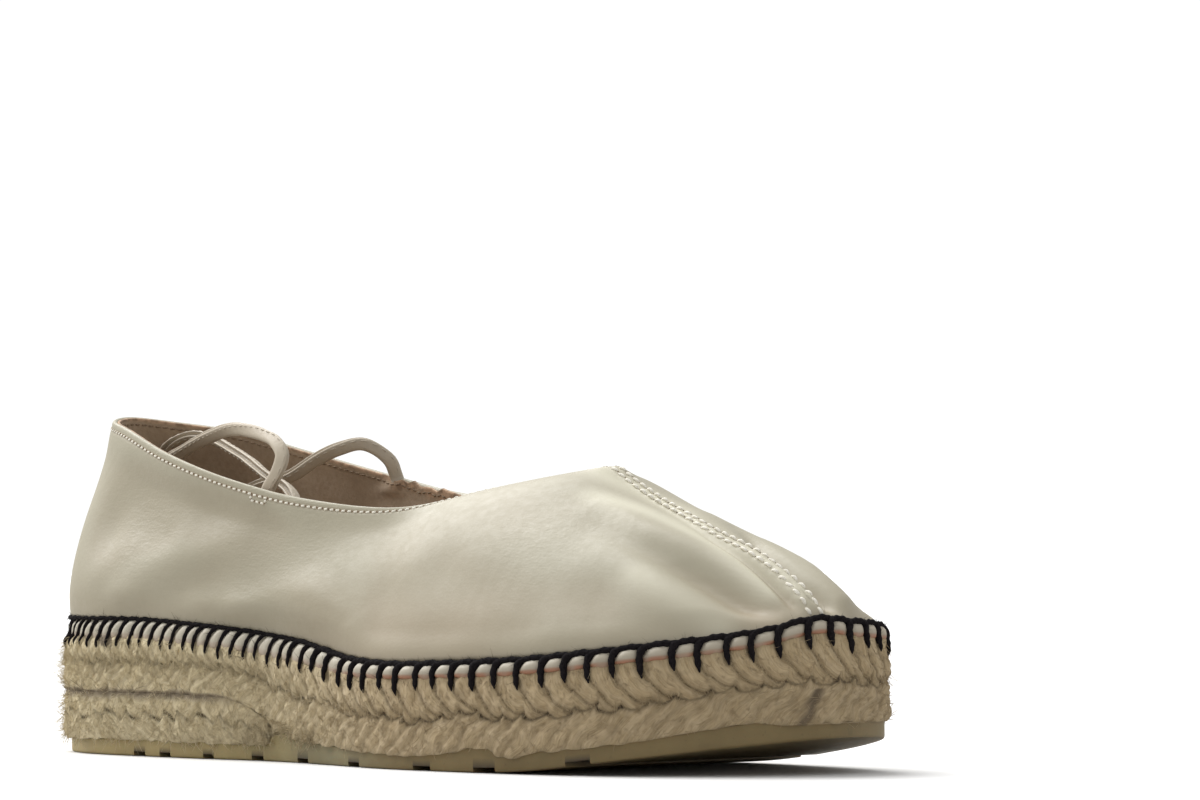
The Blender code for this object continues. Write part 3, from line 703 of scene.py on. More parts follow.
# top stitches: round the rim, two rows along the seam, and a box that holds each strap's end
sewing = {
    "rimPitch": 1.9 * mm,
    "rimBelow": 1.35 * mm,
    "rimRadius": 0.27 * mm,
    "rimLay": (0.66, 0.16),  # share of the pitch and lean of each stitch
    "seamPitch": 2.85 * mm,
    "seamOut": 1.25 * mm,
    "seamRadius": 0.38 * mm,
    "seamLay": (0.7, 0.2),
    "seamBow": 0.26,  # in mm
    "seamSunk": 0.16 * mm,  # towards the toe
    "tacks": [(-36.8, -28.2, 62.6), (-42.5, 26.2, 66.4)],  # places in mm
    "tackDepths": (2.2 * mm, 2.9 * mm),
    "tackPitch": (1.7 * mm, 1.0 * mm),  # along the rim and down from it
    "tackLong": 0.7,
    "holeRadius": 0.26 * mm,
    "holeDeep": 0.16 * mm,
    "liningBelow": 1.3 * mm,
    "liningRadius": 0.22 * mm,
    "liningLay": (0.7, 0.1),
    "lobes": 0.12,
    "twist": 2200.0,
}
# soft folds: each route point is a place on the shoe and the depth there (troughs below zero), in mm
folds = [
    {  # heel streak
        "route": [
            (-100, -27.6, 42.2, 0.08), (-93.7, -28.6, 47.5, 0.13), (-87.6, -28.8, 51.2, -0.08),
            (-82.6, -28.3, 56.5, -0.61), (-76.2, -28.5, 57.9, -0.49),
        ],
        "width": 4.7,
    },
    {  # below the heel streak
        "route": [
            (-91.4, -29.4, 42, -0.01), (-84, -29.6, 47.3, -0.17), (-77.9, -29.3, 52.3, -0.66),
            (-70, -29.5, 54.8, -0.79),
        ],
        "width": 4.7,
    },
    {  # heel hollow
        "route": [
            (-93.1, -26.4, 58.3, -3.2), (-83.9, -26.9, 62.1, -2.88),
            (-69.5, -28.1, 62.2, -2.39), (-53.2, -28.8, 62.5, -2.45),
            (-38.9, -28.7, 61.4, -1.68),
        ],
        "width": 11,
    },
    {  # heel roll
        "route": [
            (-84.3, -29.7, 39.3, 0.95), (-80.4, -29.9, 42.7, 0.53), (-69.7, -30.4, 45.6, 0.24),
            (-54.1, -30.6, 50.4, 0.32), (-40.4, -29.6, 56.7, 0.06), (-31.2, -28.7, 56.9, -0.12),
        ],
        "width": 5.1,
    },
    {  # long trough
        "route": [
            (-77.3, -29.9, 38.1, 1.17), (-68.9, -30.5, 41.2, -0.05), (-53, -31, 43.8, -0.81),
            (-38.3, -30, 49.5, -0.29), (-23.9, -28.5, 54.6, -0.32), (-9.8, -28, 55, 0.11),
        ],
        "width": 5.6,
    },
    {  # side roll
        "route": [
            (-57.4, -30.8, 38.4, -0.91), (-43.5, -30.5, 41.8, -0.51),
            (-29.4, -29.8, 41.3, -0.01), (-15.3, -30.8, 44.4, 0.49), (4.1, -32.3, 47.9, 0.36),
            (22, -35.8, 48.6, 0.09), (35.3, -36.2, 49.2, -0.37),
        ],
        "width": 6.9,
    },
    {  # dip under it
        "route": [
            (-39.3, -29.7, 35.8, 1.69), (-25.9, -30.1, 39.9, 1.44), (-9.3, -32.9, 39.8, 1.25),
            (4.4, -37, 34, 0.04),
        ],
        "width": 5.1,
    },
    {  # low side roll
        "route": [
            (-54.1, -30.4, 33, 2.17), (-33.7, -29.3, 32.3, 1.63), (-2.5, -35.4, 32.6, 1.09),
            (28.7, -42.4, 31.9, -0.67), (52.1, -42.9, 28.9, -0.51), (72.5, -40.8, 28.9, 0.29),
        ],
        "width": 8.3,
    },
    {  # mid side dip
        "route": [
            (19, -38.7, 41.6, -2.48), (44.4, -39.9, 42.7, -2.37), (65.2, -38.7, 40.7, -1.7),
            (82.6, -34, 40.9, -1.96),
        ],
        "width": 11,
    },
    {  # heel top roll
        "route": [
            (-106.3, -16.9, 70.9, -1.08), (-86, -24.9, 67.9, -1.59),
            (-70.1, -26.8, 67.6, -1.21), (-52.2, -28.3, 65.2, -1.46),
            (-34.6, -28.3, 61.6, -1.56),
        ],
        "width": 11,
    },
    {  # upper side
        "route": [
            (-8.1, -29.6, 51.2, -0.6), (17.7, -30.9, 54.2, -1.14), (37.6, -26.2, 60.4, -0.3),
            (49.1, -16.1, 66.4, 0),
        ],
        "width": 11,
    },
    {  # vamp ridge
        "route": [
            (60.6, -11, 63.4, 0.1), (77.9, -12.4, 56.2, 1.6), (87, -9.9, 52.7, 2),
            (95.5, -8.4, 48.9, 1.8), (104.3, -7.4, 44.9, 1.4), (112.4, -7.2, 39.8, 0.8),
            (115.9, -6.6, 37.6, 0.3),
        ],
        "width": 5.8,
    },
    {  # vamp trough
        "route": [
            (63, -16.4, 60, 0), (69, -17.4, 57.4, -0.6), (78.5, -18.2, 53.8, -1),
            (89.3, -16.4, 49, -1.6), (99.3, -13.9, 44.4, -2.6), (108.5, -12, 39.6, -3),
            (114.1, -10, 36.8, -1.8), (117, -9, 33.5, -0.6),
        ],
        "width": 4.2,
    },
    {  # vamp roll
        "route": [
            (69.3, -25, 53, 0), (79, -25.4, 49.9, 0.5), (86, -25.4, 46.5, 1),
            (92, -24.6, 43.2, 1.4), (103, -22.6, 35.9, 1.5), (109, -20.4, 32.6, 1),
        ],
        "width": 6.6,
    },
    {  # inner valley
        "route": [
            (82, 13, 57.4, 0), (90.8, 10.9, 54, -1.2), (96.6, 8.5, 51.6, -2.2),
            (102.4, 6.6, 48.9, -3.2), (110.2, 5.2, 44.6, -3.6), (116.7, 5.2, 40.5, -3.4),
            (121.3, 4.6, 37, -3),
        ],
        "width": 2.3,
    },
    {  # inner roll
        "route": [
            (88, 17, 54, 0), (101.3, 15.6, 48.4, 1.3), (110.3, 13.4, 43.8, 1.8),
            (116.9, 12.3, 39.8, 1.7), (120.6, 11.6, 36.6, 1.3),
        ],
        "width": 4.2,
    },
    {  # bulge behind the throat
        "route": [(50, 11, 71, -0.3), (60, 12, 67.5, -0.6), (68, 13, 63.5, -0.2), (76, 13, 60, 0.3)],
        "width": 6,
    },
    {  # inner heel trough
        "route": [(-84, 28.4, 38, 0), (-66, 29.5, 45, -1.2), (-44, 28.5, 50, 0)],
        "width": 6.5,
    },
    {  # inner side roll
        "route": [(-60, 29, 40, 0), (-25, 28, 45, 1.2), (10, 31, 52, 0)],
        "width": 7,
    },
    {  # inner vamp dip
        "route": [(40, 36, 44, 0), (62, 34, 46, -0.9), (84, 30, 42, 0)],
        "width": 7,
    },
    {  # inner toe
        "route": [
            (105, 19, 46, 0), (111, 20.5, 42.2, -0.5), (113.5, 24, 38.7, -1.8),
            (114, 26, 36, -2.2),
        ],
        "width": 6.5,
    },
]
# painted sheen: paler strips beside the seam and along the roll under it, standing in for soft highlights:
# route in mm, width and strength
sheenStrips = [
    {
        "route": [
            (60, -9, 62.5), (72.6, -6, 60.1), (82.2, -3.6, 56), (92.3, -3.6, 51.6), (103.1, -4.2, 46.6),
            (110.5, -4.8, 42),
        ],
        "width": 4 * mm,
        "strength": 1.0,
    },
    {
        "route": [(53.2, 1.1, 70.2), (57, 0.5, 68), (63.2, 2.7, 64.9), (72, 3.6, 61.1), (83.6, 1.2, 56.3)],
        "width": 4.4 * mm,
        "strength": 0.9,
    },
    {
        "route": [(88, -25, 45.6), (95, -23.6, 41.2), (101.5, -21.6, 37), (107.6, -19.4, 33.8)],
        "width": 4 * mm,
        "strength": 0.6,
    },
]
# painted shade: darker spots under the rim behind the throat and where the trough meets the stitches: place
# and reach in mm, and strength
shadeSpots = [((42, -24, 61.5), (20, 12, 9), 0.16), ((113.5, -10.5, 36), (7, 6, 4), 0.3)]
# fine wrinkles: place and reach in mm
wrinklePlaces = [
    ((-30, -29, 57), 26), ((-78, -28, 62), 20), ((62, -24, 56), 16), ((-35, 28, 58), 26), ((60, 24, 58), 18),
]
# how strong the painted shade is
shadeStrength = {
    "edge": 0.14,
    "low": 0.16,  # the lower half of the wall
    "waist": 0.23,
    "hollow": 0.22,  # in the folds' troughs
    "gutter": 0.26,
    "most": 0.55,
    "rimRow": 0.62,  # between the rim's stitches
}


def rimPaths():  # the collar's two rims from the heel's back to the throat
    throat = np.array([shoe["throatAlong"] * shoe["length"], shoe["throatOut"], shoe["instepHeight"]])
    back = shoe["heelLean"] + np.array(collar["share"]) * (throat[0] - shoe["heelLean"])
    half = np.array(collar["half"]) * shoe["collarWidth"] / 2
    up = np.array(collar["height"]) * shoe["heelHeight"]
    lift = np.array(collar["lift"]) * shoe["medialLift"]
    lateral = np.vstack([np.column_stack([back, -half, up]), throat])
    medial = np.vstack([np.column_stack([back, shoe["medialShare"] * half, up + lift]), throat])
    path = smoothPath(np.vstack([lateral[::-1], medial[1:]])) + np.array([heelX, heelY, 0])
    heel = (len(lateral) - 1) * pathSteps
    return {-1: path[: heel + 1][::-1], 1: path[heel:]}


def rimColumns(side, columns):  # a wall's columns under the collar, from throat to throat round the heel
    edge = int(round(shoe["throatShare"] * side))
    return np.r_[columns - edge : columns, 0 : edge + 1]


rims = rimPaths()
toeS = np.array([lateralLength - shoe["seamShift"]])
toeEnd = np.stack([*around(toeS, shoe["edgeInset"]), edgeRound(toeS)], -1)[0]
throatPoint = rims[-1][-1]
seamRun = unit((toeEnd - throatPoint)[:2])  # the seam's way along, seen from above
seamSide = np.array([-seamRun[1], seamRun[0], 0])
seamLong = np.linalg.norm((toeEnd - throatPoint)[:2])


def ridgeAt(share):  # the vamp's middle line and its slope along the shoe
    line = throatPoint + share[:, None] * (toeEnd - throatPoint)
    drop = through(ridge["share"], ridge["drop"], share)
    line[:, 2] = throatPoint[2] + drop * (toeEnd[2] - throatPoint[2])
    near = 0.02
    ahead, back = (through(ridge["share"], ridge["drop"], share + step) for step in (near, -near))
    rise = (ahead - back) / (2 * near) * (toeEnd[2] - throatPoint[2])
    return line, rise / (toeEnd[0] - throatPoint[0])


def seamSpread(along, side):  # how much wider the seam gets as it reaches the toe
    outer, inner = upper["seamSpread"]
    return 1 + np.where(side > 0, inner, outer) * ease(along, 0.72 * seamLong, seamLong)


def seamPlace(points):  # distance from the seam's line seen from above, and the way along it from the throat
    off = points[..., :2] - throatPoint[:2]
    across, along = off[..., 1] * seamRun[0] - off[..., 0] * seamRun[1], off @ seamRun
    return np.abs(across) / seamSpread(along, across), along


def wallCurves(side, c):
    # Bezier points of the wall at each share c from heel to toe: the edge stitch, an upright handle, a handle
    # towards the rim (collar) or level with the ridge (vamp), and the rim or ridge
    s = c * lateralLength if side < 0 else roundLength - c * medialLength
    x, y = around(s, shoe["edgeInset"])
    foot = np.column_stack([x, y, edgeRound(s)])
    out = outwardAt(s)
    throat = shoe["throatShare"]
    rim = atShare(rims[side], np.clip(c / throat, 0, 1))
    line, fall = ridgeAt(np.clip((c - throat) / (1 - throat), 0, 1) * shoe["ridgeEnd"])
    top = np.where((c < throat)[:, None], rim, line)
    onVamp = ease(c, 0.45 * throat, throat)[:, None]
    onToe = ease(c, throat + upper["toeFrom"][side], 1)[:, None]
    hump = (side > 0) * ease(c, 0.6 * throat, throat)[:, None] * (1 - onToe) * upper["instepHump"]
    up = np.array([0, 0, 1.0])
    rise = (top[:, 2] - foot[:, 2])[:, None]
    reach = foot - top
    level = reach.copy()
    level[:, 2] = fall * reach[:, 0]
    collarLow = foot + 0.36 * rise * up + upper["heelBulge"] * out
    collarHigh = top + 0.33 * reach + upper["heelBulge"] * out
    vampLow = foot + upper["upright"][side] * rise * up + upper["vampBulge"][side] * out
    vampHigh = top + upper["level"][side] * level + hump * up
    vampLow = vampLow + onToe * (foot - reach / 3 + upper["toeRise"] * up - vampLow)
    vampHigh = vampHigh + onToe * (top + reach / 3 - vampHigh)
    low = collarLow + onVamp * (vampLow - collarLow)
    high = collarHigh + onVamp * (vampHigh - collarHigh)
    return np.stack([foot, low, high, top], 1)


def bezier(curves, t):  # curves (m, 4, 3) at shares t (m, n)
    a, b, c, d = (curves[:, k, None, :] for k in range(4))
    t = t[..., None]
    return (1 - t) ** 3 * a + 3 * t * (1 - t) ** 2 * b + 3 * t ** 2 * (1 - t) * c + t ** 3 * d


def wallGrid(columns, lowRows, topRows, topBand):
    # the wall as a closed ring of columns, outer side first; also each column's share and the distances from
    # the top
    c = np.linspace(0, 1, columns + 1)
    curves = np.concatenate([wallCurves(-1, c), wallCurves(1, c)[-2:0:-1]])
    share = np.concatenate([c, c[-2:0:-1]])
    probe = bezier(curves, np.broadcast_to(np.linspace(0, 1, 40), (len(share), 40)))
    lengths = lengthsOf(probe)
    whole = lengths[:, -1]
    band = np.minimum(topBand, 0.4 * whole)
    low = np.linspace(0, 1, lowRows)[None, :] * (whole - band)[:, None]
    high = np.linspace(0, 1, topRows + 1)[None, 1:] * band[:, None] + (whole - band)[:, None]
    wanted = np.concatenate([low, high], 1)
    t = np.stack([np.interp(w, l, np.linspace(0, 1, 40)) for w, l in zip(wanted, lengths)])
    grid, below = bezier(curves, t), whole[:, None] - wanted
    # the corner at the throat fades out below the edge: columns near it are averaged along the shoe
    reach = upper["throatBlend"] * columns
    steps = np.arange(-int(2.5 * reach), int(2.5 * reach) + 1)
    weights = np.exp(-(steps / reach) ** 2)
    soft = sum(np.roll(grid, step, 0) * weight for step, weight in zip(steps, weights / weights.sum()))
    part = np.exp(-((share - shoe["throatShare"]) / upper["throatReach"]) ** 2)[:, None]
    part = part * ease(below, 1 * mm, 9 * mm)
    part = part * ease(wanted / whole[:, None], 0.04, 0.3)
    return grid + (soft - grid) * part[..., None], share, below


def foldRelief(points):  # sum over the folds: depth at the route's nearest place times a bell of the distance
    flatPoints = points.reshape(-1, 3)
    relief = np.zeros(len(flatPoints))
    for fold in folds:
        path = smoothPath(np.array(fold["route"], float) * mm, 12)
        away = np.linalg.norm(flatPoints[:, None, :] - path[None, :, :3], axis=2)
        spot = away.argmin(1)
        nearest = away[np.arange(len(spot)), spot] / (fold["width"] * mm)
        relief += path[spot, 3] * np.exp(-nearest ** 2)
    return relief.reshape(points.shape[:-1])


def restAt(grid):  # share of the folds: none at the wall's foot and on the seam, little at the rim
    fromSeam, alongSeam = seamPlace(grid)
    foot = np.linalg.norm(grid - grid[:, :1], axis=2)
    top = np.linalg.norm(grid - grid[:, -1:], axis=2)
    onSeam = ease(alongSeam, -2 * mm, 2 * mm) * (1 - ease(fromSeam, 1.5 * mm, 7 * mm))
    atRim = (1 - ease(alongSeam, -10 * mm, 0)) * (1 - ease(top, 0, 10 * mm))
    return (1 - onSeam) * ease(foot, 0, 8 * mm) * (1 - 0.75 * atRim)


def makeUpper():
    # the wall moved along its normals by the folds, the seam's band and the rim's groove; then the turned rim
    grid, share, below = wallGrid(upper["columns"], upper["lowRows"], upper["topRows"], upper["topBand"])
    columns, rows = grid.shape[:2]
    normals = gridNormals(grid, True)
    onSeam = ease(share, shoe["throatShare"] - 0.01, shoe["throatShare"] + 0.01)[:, None]
    fromSeam, alongSeam = seamPlace(grid)
    low = np.linalg.norm(grid - grid[:, :1], axis=2)
    relief = (foldRelief(grid) + upper["uneven"] * waves(grid, 26 * mm, 3)) * restAt(grid)
    wall = grid + normals * relief[..., None]
    # the seam is a rounded band, puckered between its stitches, with a gutter along each side near the toe
    started = ease(alongSeam, -0.5 * mm, 1 * mm) * ease(low, 0, 8 * mm)
    toeward = ease(alongSeam, 0.35 * seamLong, 0.9 * seamLong)
    raised = fromTo(upper["seamRaise"], toeward)
    half = upper["seamHalf"]
    band = started * (1 - ease(fromSeam, half - 1.3 * mm, half + 0.3 * mm))
    nearRow = np.exp(-((fromSeam - sewing["seamOut"]) / (0.7 * mm)) ** 2)
    pucker = upper["seamPucker"] * np.cos(2 * np.pi * alongSeam / sewing["seamPitch"]) * nearRow
    inGutter = started * toeward * np.exp(-((fromSeam - half - 0.9 * mm) / (0.9 * mm)) ** 2)
    gutter = inGutter * upper["seamGutter"]
    valley = started * (1 - toeward) * np.exp(-(fromSeam / (0.4 * mm)) ** 2) * upper["seamValley"]
    # both sides of the seam rise in its own upright plane, so that they meet
    aside = (normals @ seamSide) * (1 - ease(fromSeam, 0.5 * mm, 4 * mm))
    upright = unit(normals - seamSide * aside[..., None])
    wall += upright * (band * (raised - upper["seamDent"] * nearRow + pucker) - gutter - valley)[..., None]
    # a shallow groove holds the rim's stitches
    grooveHalf, grooveDeep = upper["rimGroove"]
    inRimGroove = (1 - onSeam) * np.exp(-((below - sewing["rimBelow"]) / grooveHalf) ** 2)
    wall -= normals * (grooveDeep * inRimGroove)[..., None]
    wrinkle = np.zeros(grid.shape[:2])
    for place, reach in wrinklePlaces:
        away = np.linalg.norm(grid - np.array(place) * mm, axis=2)
        wrinkle = np.maximum(wrinkle, np.exp(-(away / (reach * mm)) ** 2))
    # painted shade: darker near the edge stitch, low on the wall, at the waist, at the listed spots, in the
    # folds' troughs, in the seam's gutters and in the rim's stitch groove
    grime = shadeStrength["edge"] * (1 - ease(low, 0, 9 * mm)) + shadeStrength["low"] * (1 - ease(low, 4 * mm, 26 * mm))
    waist = ease(grid[..., 0], -30 * mm, 0) * (1 - ease(grid[..., 0], 50 * mm, 75 * mm))
    grime = grime + shadeStrength["waist"] * waist * (1 - ease(low, 6 * mm, 22 * mm))
    for place, reach, strength in shadeSpots:
        away = np.linalg.norm((grid / mm - np.array(place)) / np.array(reach), axis=2)
        grime = grime + strength * np.exp(-away ** 2)
    grime = grime + shadeStrength["hollow"] * ease(-relief, 0.2 * mm, 2.2 * mm) + shadeStrength["gutter"] * inGutter
    grime = np.maximum(np.clip(grime, 0, shadeStrength["most"]), shadeStrength["rimRow"] * inRimGroove)
    # painted sheen: paler along the strips and on the seam's band towards the toe, less in the gutters
    rub = np.zeros(grid.shape[:2])
    for strip in sheenStrips:
        line = smoothPath(np.array(strip["route"]) * mm, 12)
        away = np.linalg.norm(wall[:, :, None] - line, axis=3).min(2)
        rub = np.maximum(rub, strip["strength"] * np.exp(-(away / strip["width"]) ** 2))
    rub = np.maximum(rub * (1 - 0.8 * inGutter), 0.8 * band * toeward)
    # the rim turns over as a half round and runs down inside
    order = rimColumns(upper["columns"], columns)
    tip, out = wall[order, -1], normals[order, -1]
    up = unit(wall[order, -1] - wall[order, -4])
    angle = np.linspace(0, np.pi, 9)[None, :, None]
    roll = tip[:, None] - upper["roll"] * out[:, None]
    roll = roll + upper["roll"] * (np.cos(angle) * out[:, None] + np.sin(angle) * up[:, None])
    leg = np.linspace(0.25, 1, 4)[None, :, None] * upper["rollLeg"]
    roll = np.concatenate([roll, roll[:, -1:] - leg * up[:, None]], 1)
    points = np.vstack([wall.reshape(-1, 3), roll.reshape(-1, 3)])
    rollFaces = gridFaces(len(order), roll.shape[1], False, columns * rows)
    faces = np.vstack([gridFaces(columns, rows, True), rollFaces])
    clean = np.zeros(roll.shape[:2]).ravel()
    values = {"wrinkle": wrinkle, "grime": grime, "rub": rub}
    values = {key: np.r_[value.ravel(), clean] for key, value in values.items()}
    obj = putMesh("upperLeather", points, faces, leather, "leather", ["upper"], 0.02 * mm, None, values)
    shell = obj.modifiers.new("hide", "SOLIDIFY")
    shell.thickness = upper["leather"]
    shell.offset = -1
    return wall, below, order


wall, wallBelow, rimOrder = makeUpper()
print("upper ready")

# lining: brown, close inside the leather
liner = {
    "columns": 130,  # on each side
    "lowRows": 30,
    "topRows": 12,
    "topBand": 5 * mm,
    "under": 1.75 * mm,  # from the leather's face
    "thick": 0.6 * mm,
    "slack": 0.2 * mm,
    "vampSlack": 2 * mm,
    "edgeRise": 0.7 * mm,
    "frayed": 0.4 * mm,
    "tieLump": (-43.5 * mm, 26.7 * mm, 66.6 * mm),  # the inner tie's end under it
    "lumpReach": 4 * mm,
    "lumpPitch": 2.4 * mm,
}


def makeLining():
    # the wall again, moved inwards; it stops just under the rim, and its raw edge is tan
    grid, share, below = wallGrid(liner["columns"], liner["lowRows"], liner["topRows"], liner["topBand"])
    columns, rows = grid.shape[:2]
    normals = gridNormals(grid, True)
    onSeam = ease(share, shoe["throatShare"] - 0.02, shoe["throatShare"] + 0.02)[:, None]
    toTop = (onSeam * (1 - ease(below, 0, 8 * mm)))[..., None]
    normals = unit(normals * (1 - toTop) + np.array([0, 0, 1.0]) * toTop)
    slack = liner["slack"] * (waves(grid, 18 * mm, 8) - 1) * ease(below, 1 * mm, 9 * mm)
    relief = foldRelief(grid) * restAt(grid) + slack
    depth = liner["under"] + 0.3 * mm * (1 - onSeam) * np.exp(-(below / (2.5 * mm)) ** 2)
    onVamp = ease(share, shoe["throatShare"] + 0.01, shoe["throatShare"] + 0.08)[:, None]
    depth = depth + liner["vampSlack"] * onVamp
    fromLump = np.linalg.norm(grid - np.array(liner["tieLump"]), axis=2)
    puckers = 0.8 - 0.7 * np.cos(grid[..., 0] * 2 * np.pi / liner["lumpPitch"])
    lump = np.exp(-(fromLump / liner["lumpReach"]) ** 2) * puckers * mm
    inner = grid + normals * (relief - depth - lump)[..., None]
    # ragged where the inner tie is sewn in
    torn = ease(grid[..., 0], -50 * mm, -40 * mm) * (1 - ease(grid[..., 0], 2 * mm, 14 * mm))
    torn = torn * (grid[..., 1] > 0)
    frayed = waves(grid, 3 * mm, 17)
    rise = liner["edgeRise"] + torn * liner["frayed"] * frayed
    inner[..., 2] += (1 - onSeam) * rise * (1 - ease(below, 0, 3 * mm))
    rawFrom = (0.2 + torn * (0.9 + 0.5 * frayed)) * mm
    rawTo = (0.9 + torn * (1.4 + 0.6 * frayed)) * mm
    rawEdge = (1 - onSeam) * (1 - ease(below, rawFrom, rawTo))
    order = gridFaces(columns, rows, True)[:, ::-1]
    obj = putMesh("upperLining", inner, order, lining, "lining", (), 0.02 * mm, None, {"rawEdge": rawEdge})
    shell = obj.modifiers.new("split", "SOLIDIFY")
    shell.thickness = liner["thick"]
    shell.offset = -1
    return inner, normals, below


linerGrid, linerOut, linerBelow = makeLining()
print("lining ready")

# blanket stitch: where its legs stand round the edge
blanket = {
    "pitch": (4.2 * mm, 6.4 * mm),  # heel, forefoot
    "changes": (-36 * mm, 0 * mm),  # where the pitch grows, along the shoe
    "leg": 8.0 * mm,
    "radius": (0.44 * mm, 0.79 * mm),
    "run": (0.49 * mm, 0.74 * mm),
    "setIn": (1.0 * mm, 0.25 * mm),  # the hem stands this far inside the jute
    "heelTrim": 0.75 * mm,
    "uneven": 0.09,  # of a pitch
    # how far in from the outline a leg lies as it comes down over the hem, in mm
    "legDrop": [0, 0.6, 1.1, 1.7, 2.6, 3.6, 4.6, 5.4, 6.6, 8.0],
    "legInset": [1.75, 1.25, 0.9, 0.62, 0.44, 0.4, 0.42, 0.42, 0.5, 0.8],
    "sides": 10,
    "lobes": 0.13,  # of the yarn's plies
    "twist": 1500.0,
}


def pitchOf(x):  # from the heel's pitch to the forefoot's
    return fromTo(blanket["pitch"], ease(x, *blanket["changes"]))


def pitchAt(s):  # the same at length s round the outline
    return pitchOf(around(s, 0)[0])


def legPlaces():  # legs a pitch apart, a little uneven, closing evenly at the heel
    pitch = pitchOf(fineLoop[:, 0])
    count = np.concatenate([[0], np.cumsum(np.diff(fineS) / (0.5 * (pitch[1:] + pitch[:-1])))])
    total = int(round(count[-1]))
    wanted = np.arange(total) + rng.uniform(-blanket["uneven"], blanket["uneven"], total)
    return np.interp(wanted, count * total / count[-1], fineS)


legs = legPlaces()
manyLegs = len(legs)
lap = 3  # legs repeated past each end, so that counting closes
legsMore = np.concatenate([legs[-lap:] - roundLength, legs, legs[:lap] + roundLength])
countMore = np.arange(-lap, manyLegs + lap)


def stitchAt(s):  # stitches passed at length s, whole numbers at the legs
    s = np.mod(s + 5 * mm, roundLength) - 5 * mm
    return np.interp(s, legsMore, countMore)


def heelTrimAt(s):  # the heel's back is cut closer than the outline
    x, _ = around(s, 0)
    return blanket["heelTrim"] * (1 - ease(x, -120 * mm, -80 * mm))


def setInAt(s):  # how far the hem stands in from the outline, deepest at the heel
    x, _ = around(s, 0)
    return fromTo(blanket["setIn"], ease(x, -105 * mm, -45 * mm)) + heelTrimAt(s)


def leanAt(s, down):  # how far a leg stands ahead of its place at a share of its way down: bowed at the heel
    x, _ = around(s, 0)
    heel = 1 - ease(x, -25 * mm, 35 * mm)
    bow = 2.5 * (1 - down) ** 2.1 - 0.3 * np.sin(np.pi * down) + 0.35 * down ** 3
    turn = 1.5 * (1 - down) ** 5.5 + 0.95 * down ** 1.6 - 0.1
    return (bow * heel + turn * (1 - heel)) * mm


# the hem: the leather's folded edge below the edge stitch, pillowed between the legs
hem = {
    "columns": 1640,
    "pinch": 0.5 * mm,
    "puff": 0.42 * mm,
    "corner": 1.15 * mm,
    "heelLonger": 0.17,
    "foreShorter": 0.17,
    "legSpace": 0.35 * mm,  # held flat beside a leg
    # colour of the painted shade
    "grime": (0.25, 0.2, 0.14),
    "rawEdge": (0.33, 0.15, 0.085),
}
hemRows = np.array([  # inset and drop in mm, round the section; 1 where the legs pinch it
    (2.7, -0.35, 0), (2.35, 0.05, 0), (1.95, 0.28, 0.2), (1.5, 0.55, 0.5), (1.08, 0.95, 0.8), (0.76, 1.5, 1),
    (0.56, 2.2, 1), (0.5, 2.9, 1), (0.52, 3.5, 1), (0.62, 4.0, 1), (0.85, 4.4, 1), (1.2, 4.5, 0.8),
    (1.45, 3.9, 0.5), (1.7, 2.6, 0.3), (2.1, 1.4, 0.2), (2.75, 0.5, 0),
])


def hemLook():  # paler hide with painted shade beside the legs and towards each tab's lower edge, and a rusty raw edge
    look = leatherLook("hemLeather", *leatherTones["hem"])
    color = look.shader.inputs["Base Color"].links[0].from_socket
    tone = look.mix(look.value("grime"), Wire(look, color), hem["grime"])
    look.use("color", look.mix(look.value("rawEdge"), tone, hem["rawEdge"]))
    return look


hemLeather = hemLook()


def makeHem():
    # the section carried round the outline: pulled in at the legs, puffed out between them
    s = np.linspace(0, roundLength, hem["columns"], endpoint=False)[:, None]
    x0, _ = around(s, 0)
    fore = ease(x0, -20 * mm, 30 * mm)
    longer = 1 + hem["heelLonger"] * (1 - fore) - hem["foreShorter"] * fore
    drop = hemRows[None, :, 1] * mm * longer
    down = np.clip(drop / blanket["leg"], 0, 1)
    between = np.mod(stitchAt(s - leanAt(s, down)), 1)
    beside = np.minimum(between, 1 - between) * pitchAt(s)  # distance from the nearest leg
    full = np.clip((beside - hem["legSpace"]) / (0.5 * pitchAt(s) - hem["legSpace"]), 0, 1)
    pillow = 1 - (1 - full) ** 2.6
    pinch = hemRows[None, :, 2]
    turned = s * 2 * np.pi / roundLength
    uneven = waves(np.stack([np.cos(turned), np.sin(turned)], -1), 0.06, 21)
    pulled = hem["pinch"] * (1 - pillow) - hem["puff"] * pillow * (1 + 0.25 * uneven)
    inset = hemRows[None, :, 0] * mm + pinch * pulled
    inset = inset + setInAt(s) * np.clip(pinch + 0.5, 0, 1)
    scallop = ease(drop, 3.0 * mm, 4.4 * mm) * (0.4 * (1 - pillow) + 0.2 * uneven) * mm
    x, y = around(s + np.zeros_like(inset), inset)
    corner = hem["corner"] * (1 - pillow) * pinch * (1 - ease(drop, 1 * mm, 3.2 * mm))
    points = np.stack([x, y, edgeRound(s) - drop + scallop - corner], -1)
    patchy = fore * np.clip(0.75 + 0.5 * uneven, 0.2, 1)
    rawEdge = ease(drop / longer, 3.2 * mm, 3.6 * mm) * (0.3 + 0.65 * patchy)
    # painted shade: darker beside the legs, and towards the lower edge of the forefoot's tabs
    shadeBesideLegs = (0.15 + 0.3 * fore) * (1 - pillow) ** 1.5
    grime = np.clip(shadeBesideLegs + fore * (0.26 + 0.5 * ease(drop, 1.2 * mm, 3.4 * mm)), 0, 1)
    columns, rows = points.shape[:2]
    faces = np.vstack([gridFaces(columns, rows, True), closingFaces(columns, rows, True)])[:, ::-1]
    values = {"rawEdge": rawEdge, "grime": grime}
    putMesh("hemEdge", points, faces, hemLeather, "leather", (), None, None, values)


makeHem()
print("hem ready,", manyLegs, "stitches round")


